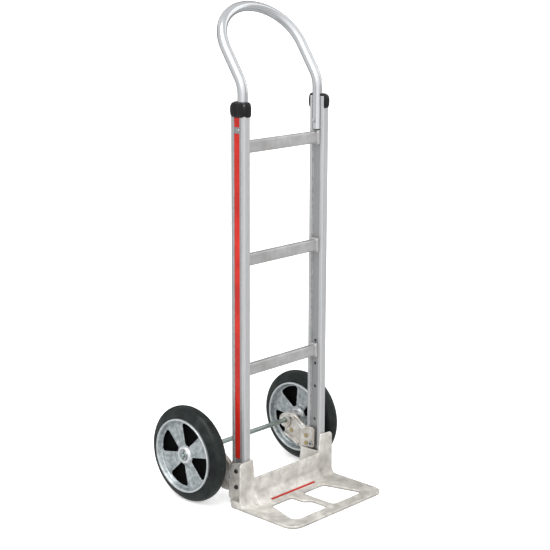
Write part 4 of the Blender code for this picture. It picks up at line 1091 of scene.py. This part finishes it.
def place_wheels():
    hubs = {
        "right": hub_shape(POCKET_FIRST_ANGLES["right"]),
        "left": mirrored(hub_shape(POCKET_FIRST_ANGLES["left"])),
    }
    tyre = tyre_shape()
    bearing = bearing_shape()
    for word, side in SIDES.items():
        origin = (side * WHEEL_X, AXLE_Y, AXLE_Z)
        body = f"wheel_{word}"
        piece(f"{body}_hub", hubs[word], hub_metal, body, [f"hub_{word}"], origin, 60)
        piece(f"{body}_tyre", tyre.copy(), tyre_rubber, body, [f"tyre_{word}"], origin, 50)
        for place in ("inner", "outer"):
            node = f"bearing_{place}_{word}"
            spot = (cad_middle(node, 0), AXLE_Y, AXLE_Z)
            piece(f"{node}_ground", bearing.copy(), ground_steel, body, [node], spot)


def facing(side):
    """Turns +X to point along side."""
    return Matrix.Rotation(0 if side > 0 else math.pi, 4, "Z")


def bolt_piece(node, shape, head_side, head_height, finish):
    """A bolt along X put where its CAD node is, with its head towards head_side."""
    low, high = cad_span(node, 0)
    seat = high - head_height if head_side > 0 else low + head_height
    mesh = moved(shape.copy(), facing(head_side))
    origin = (seat, cad_middle(node, 1) - SHIFT, cad_middle(node, 2))
    piece(f"{node}_plated", mesh, finish, "frame", [node], origin)


def place_fasteners():
    def length(node, head):
        low, high = cad_span(node, 0)
        return high - low - head

    nut = nut_shape()
    brace_bolt = round_bolt_shape(length("brace_bolt_top_right", 2.6))
    handle_bolt = round_bolt_shape(length("handle_bolt_right", 2.6))
    bracket_bolt = hex_bolt_shape(length("bracket_bolt_lower_right", 4))
    nose_bolts = {level: hex_bolt_shape(length(f"nose_bolt_{level}_right", 4)) for level in NOSE_BOLTS}
    arm_bolt = hex_bolt_shape(length("bracket_bolt_arm_right", 4))
    for word, side in SIDES.items():
        for level in LEVELS:
            bolt_piece(f"brace_bolt_{level}_{word}", brace_bolt, -side, 2.6, zinc)
        bolt_piece(f"handle_bolt_{word}", handle_bolt, side, 2.6, zinc)
        for level, shape in nose_bolts.items():
            bolt_piece(f"nose_bolt_{level}_{word}", shape, side, 4, dark_zinc)
            bolt_piece(f"bracket_bolt_{level}_{word}", bracket_bolt, -side, 4, yellow_zinc)
        for node in (f"handle_nut_{word}", f"nose_nut_lower_{word}", f"nose_nut_upper_{word}"):
            low, high = cad_span(node, 0)
            mesh = moved(nut.copy(), facing(-side))
            origin = (high if side > 0 else low, cad_middle(node, 1) - SHIFT, cad_middle(node, 2))
            piece(f"{node}_plated", mesh, zinc, "frame", [node], origin)
        bolt_piece(f"bracket_bolt_arm_{word}", arm_bolt, -side, 4, yellow_zinc)


# ---------------------------------------------------------------- stage


def floor():
    """A plain pale floor."""
    bm = bmesh.new()
    bmesh.ops.create_circle(bm, cap_ends=True, radius=90, segments=96)
    mesh = mesh_of(bm)
    made = bpy.data.objects.new("floor", mesh)
    bpy.context.scene.collection.objects.link(made)
    n = Nodes("floor_pale")
    tone = n.noise(n.place(), 0.8, 3)
    n.set(Base_Color=n.mix(tone, (0.87, 0.87, 0.87), (0.89, 0.89, 0.89)))
    n.shader.inputs["Roughness"].default_value = 0.9
    n.shader.inputs["Specular IOR Level"].default_value = 0.1
    n.shader.inputs["Emission Color"].default_value = (1, 1, 1, 1)
    n.shader.inputs["Emission Strength"].default_value = 0.45
    mesh.materials.append(n.material)
    made.location.z = -0.0002
    made.visible_glossy = False


def light(name, size, power, location, target=(0, 0, 0.5), colour=(1, 1, 1)):
    data = bpy.data.lights.new(name, "AREA")
    data.shape = "RECTANGLE"
    data.size, data.size_y = size
    data.energy = power
    data.color = colour
    made = bpy.data.objects.new(name, data)
    bpy.context.scene.collection.objects.link(made)
    made.location = location
    made.rotation_euler = (Vector(location) - Vector(target)).to_track_quat("Z", "Y").to_euler()


def studio():
    """A white surround, brightest overhead and on the viewer's side, with three large soft lights."""
    world = bpy.data.worlds.new("studio")
    bpy.context.scene.world = world
    world.use_nodes = True
    tree = world.node_tree

    def add(kind, **settings):
        node = tree.nodes.new("ShaderNode" + kind)
        for key, value in settings.items():
            setattr(node, key, value)
        return node

    def lobe(direction, low, high, to_low, to_high):
        """Light that grows towards one direction."""
        dot = add("VectorMath", operation="DOT_PRODUCT")
        tree.links.new(coordinates.outputs["Generated"], dot.inputs[0])
        dot.inputs[1].default_value = Vector(direction).normalized()
        ramp = add("MapRange", interpolation_type="SMOOTHSTEP")
        tree.links.new(dot.outputs["Value"], ramp.inputs[0])
        for index, value in enumerate((low, high, to_low, to_high), 1):
            ramp.inputs[index].default_value = value
        return ramp.outputs[0]

    coordinates = add("TexCoord")
    total = add("Math", operation="ADD")
    sides = add("Math", operation="ADD")
    tree.links.new(lobe((-0.62, -0.62, 0.48), 0.30, 0.95, 0.0, 0.6), sides.inputs[0])
    tree.links.new(lobe((-0.70, 0.67, -0.22), 0.60, 0.97, 0.0, 0.16), sides.inputs[1])
    overhead = add("Math", operation="ADD")
    tree.links.new(lobe((0, 0, 1), -0.1, 0.9, 0.60, 0.80), overhead.inputs[0])
    tree.links.new(lobe((-0.34, -0.12, 0.93), 0.92, 0.995, 0.0, 4.0), overhead.inputs[1])
    tree.links.new(overhead.outputs[0], total.inputs[0])
    rear = add("Math", operation="ADD")
    tree.links.new(sides.outputs[0], rear.inputs[0])
    tree.links.new(lobe((0.62, 0.78, -0.03), 0.50, 0.96, 0.0, -0.50), rear.inputs[1])
    tree.links.new(rear.outputs[0], total.inputs[1])
    path = add("LightPath")
    mixer = add("Mix", data_type="FLOAT")
    tree.links.new(path.outputs["Is Camera Ray"], mixer.inputs[0])
    tree.links.new(total.outputs[0], mixer.inputs[2])
    mixer.inputs[3].default_value = 0.97
    tree.links.new(mixer.outputs[0], tree.nodes["Background"].inputs[1])
    tree.nodes["Background"].inputs[0].default_value = (1, 1, 1, 1)
    light("key", (2.0, 2.0), 42, (-3.0, -1.8, 3.2))
    light("fill", (2.0, 3.0), 15, (3.4, -1.6, 2.2))
    light("back", (3.0, 2.0), 8, (0.8, 3.4, 3.0))


def camera():
    """The photograph's viewpoint: azimuth, pitch and roll in degrees, position in the truck's frame."""
    azimuth, pitch, roll = math.radians(-46.5855), math.radians(13.3936), math.radians(0.1899)
    forward = Vector((-math.sin(azimuth) * math.cos(pitch), math.cos(azimuth) * math.cos(pitch), -math.sin(pitch)))
    right = Vector((math.cos(azimuth), math.sin(azimuth), 0))
    up = right.cross(forward)
    axis_x = right * math.cos(roll) + up * math.sin(roll)
    axis_y = up * math.cos(roll) - right * math.sin(roll)
    data = bpy.data.cameras.new("view")
    data.sensor_width = 36
    data.lens = 1412.35 / 550 * 36
    data.clip_start, data.clip_end = 0.05, 200
    made = bpy.data.objects.new("view", data)
    bpy.context.scene.collection.objects.link(made)
    turn_to = Matrix((axis_x, axis_y, -forward)).transposed().to_4x4()
    made.matrix_world = Matrix.Translation((-2.55506, -2.37483 + SHIFT * MM, 1.41665)) @ turn_to
    bpy.context.scene.camera = made


place_frame()
place_axle()
place_wheels()
place_fasteners()
floor()
studio()
camera()
bpy.context.scene.view_settings.view_transform = "Standard"
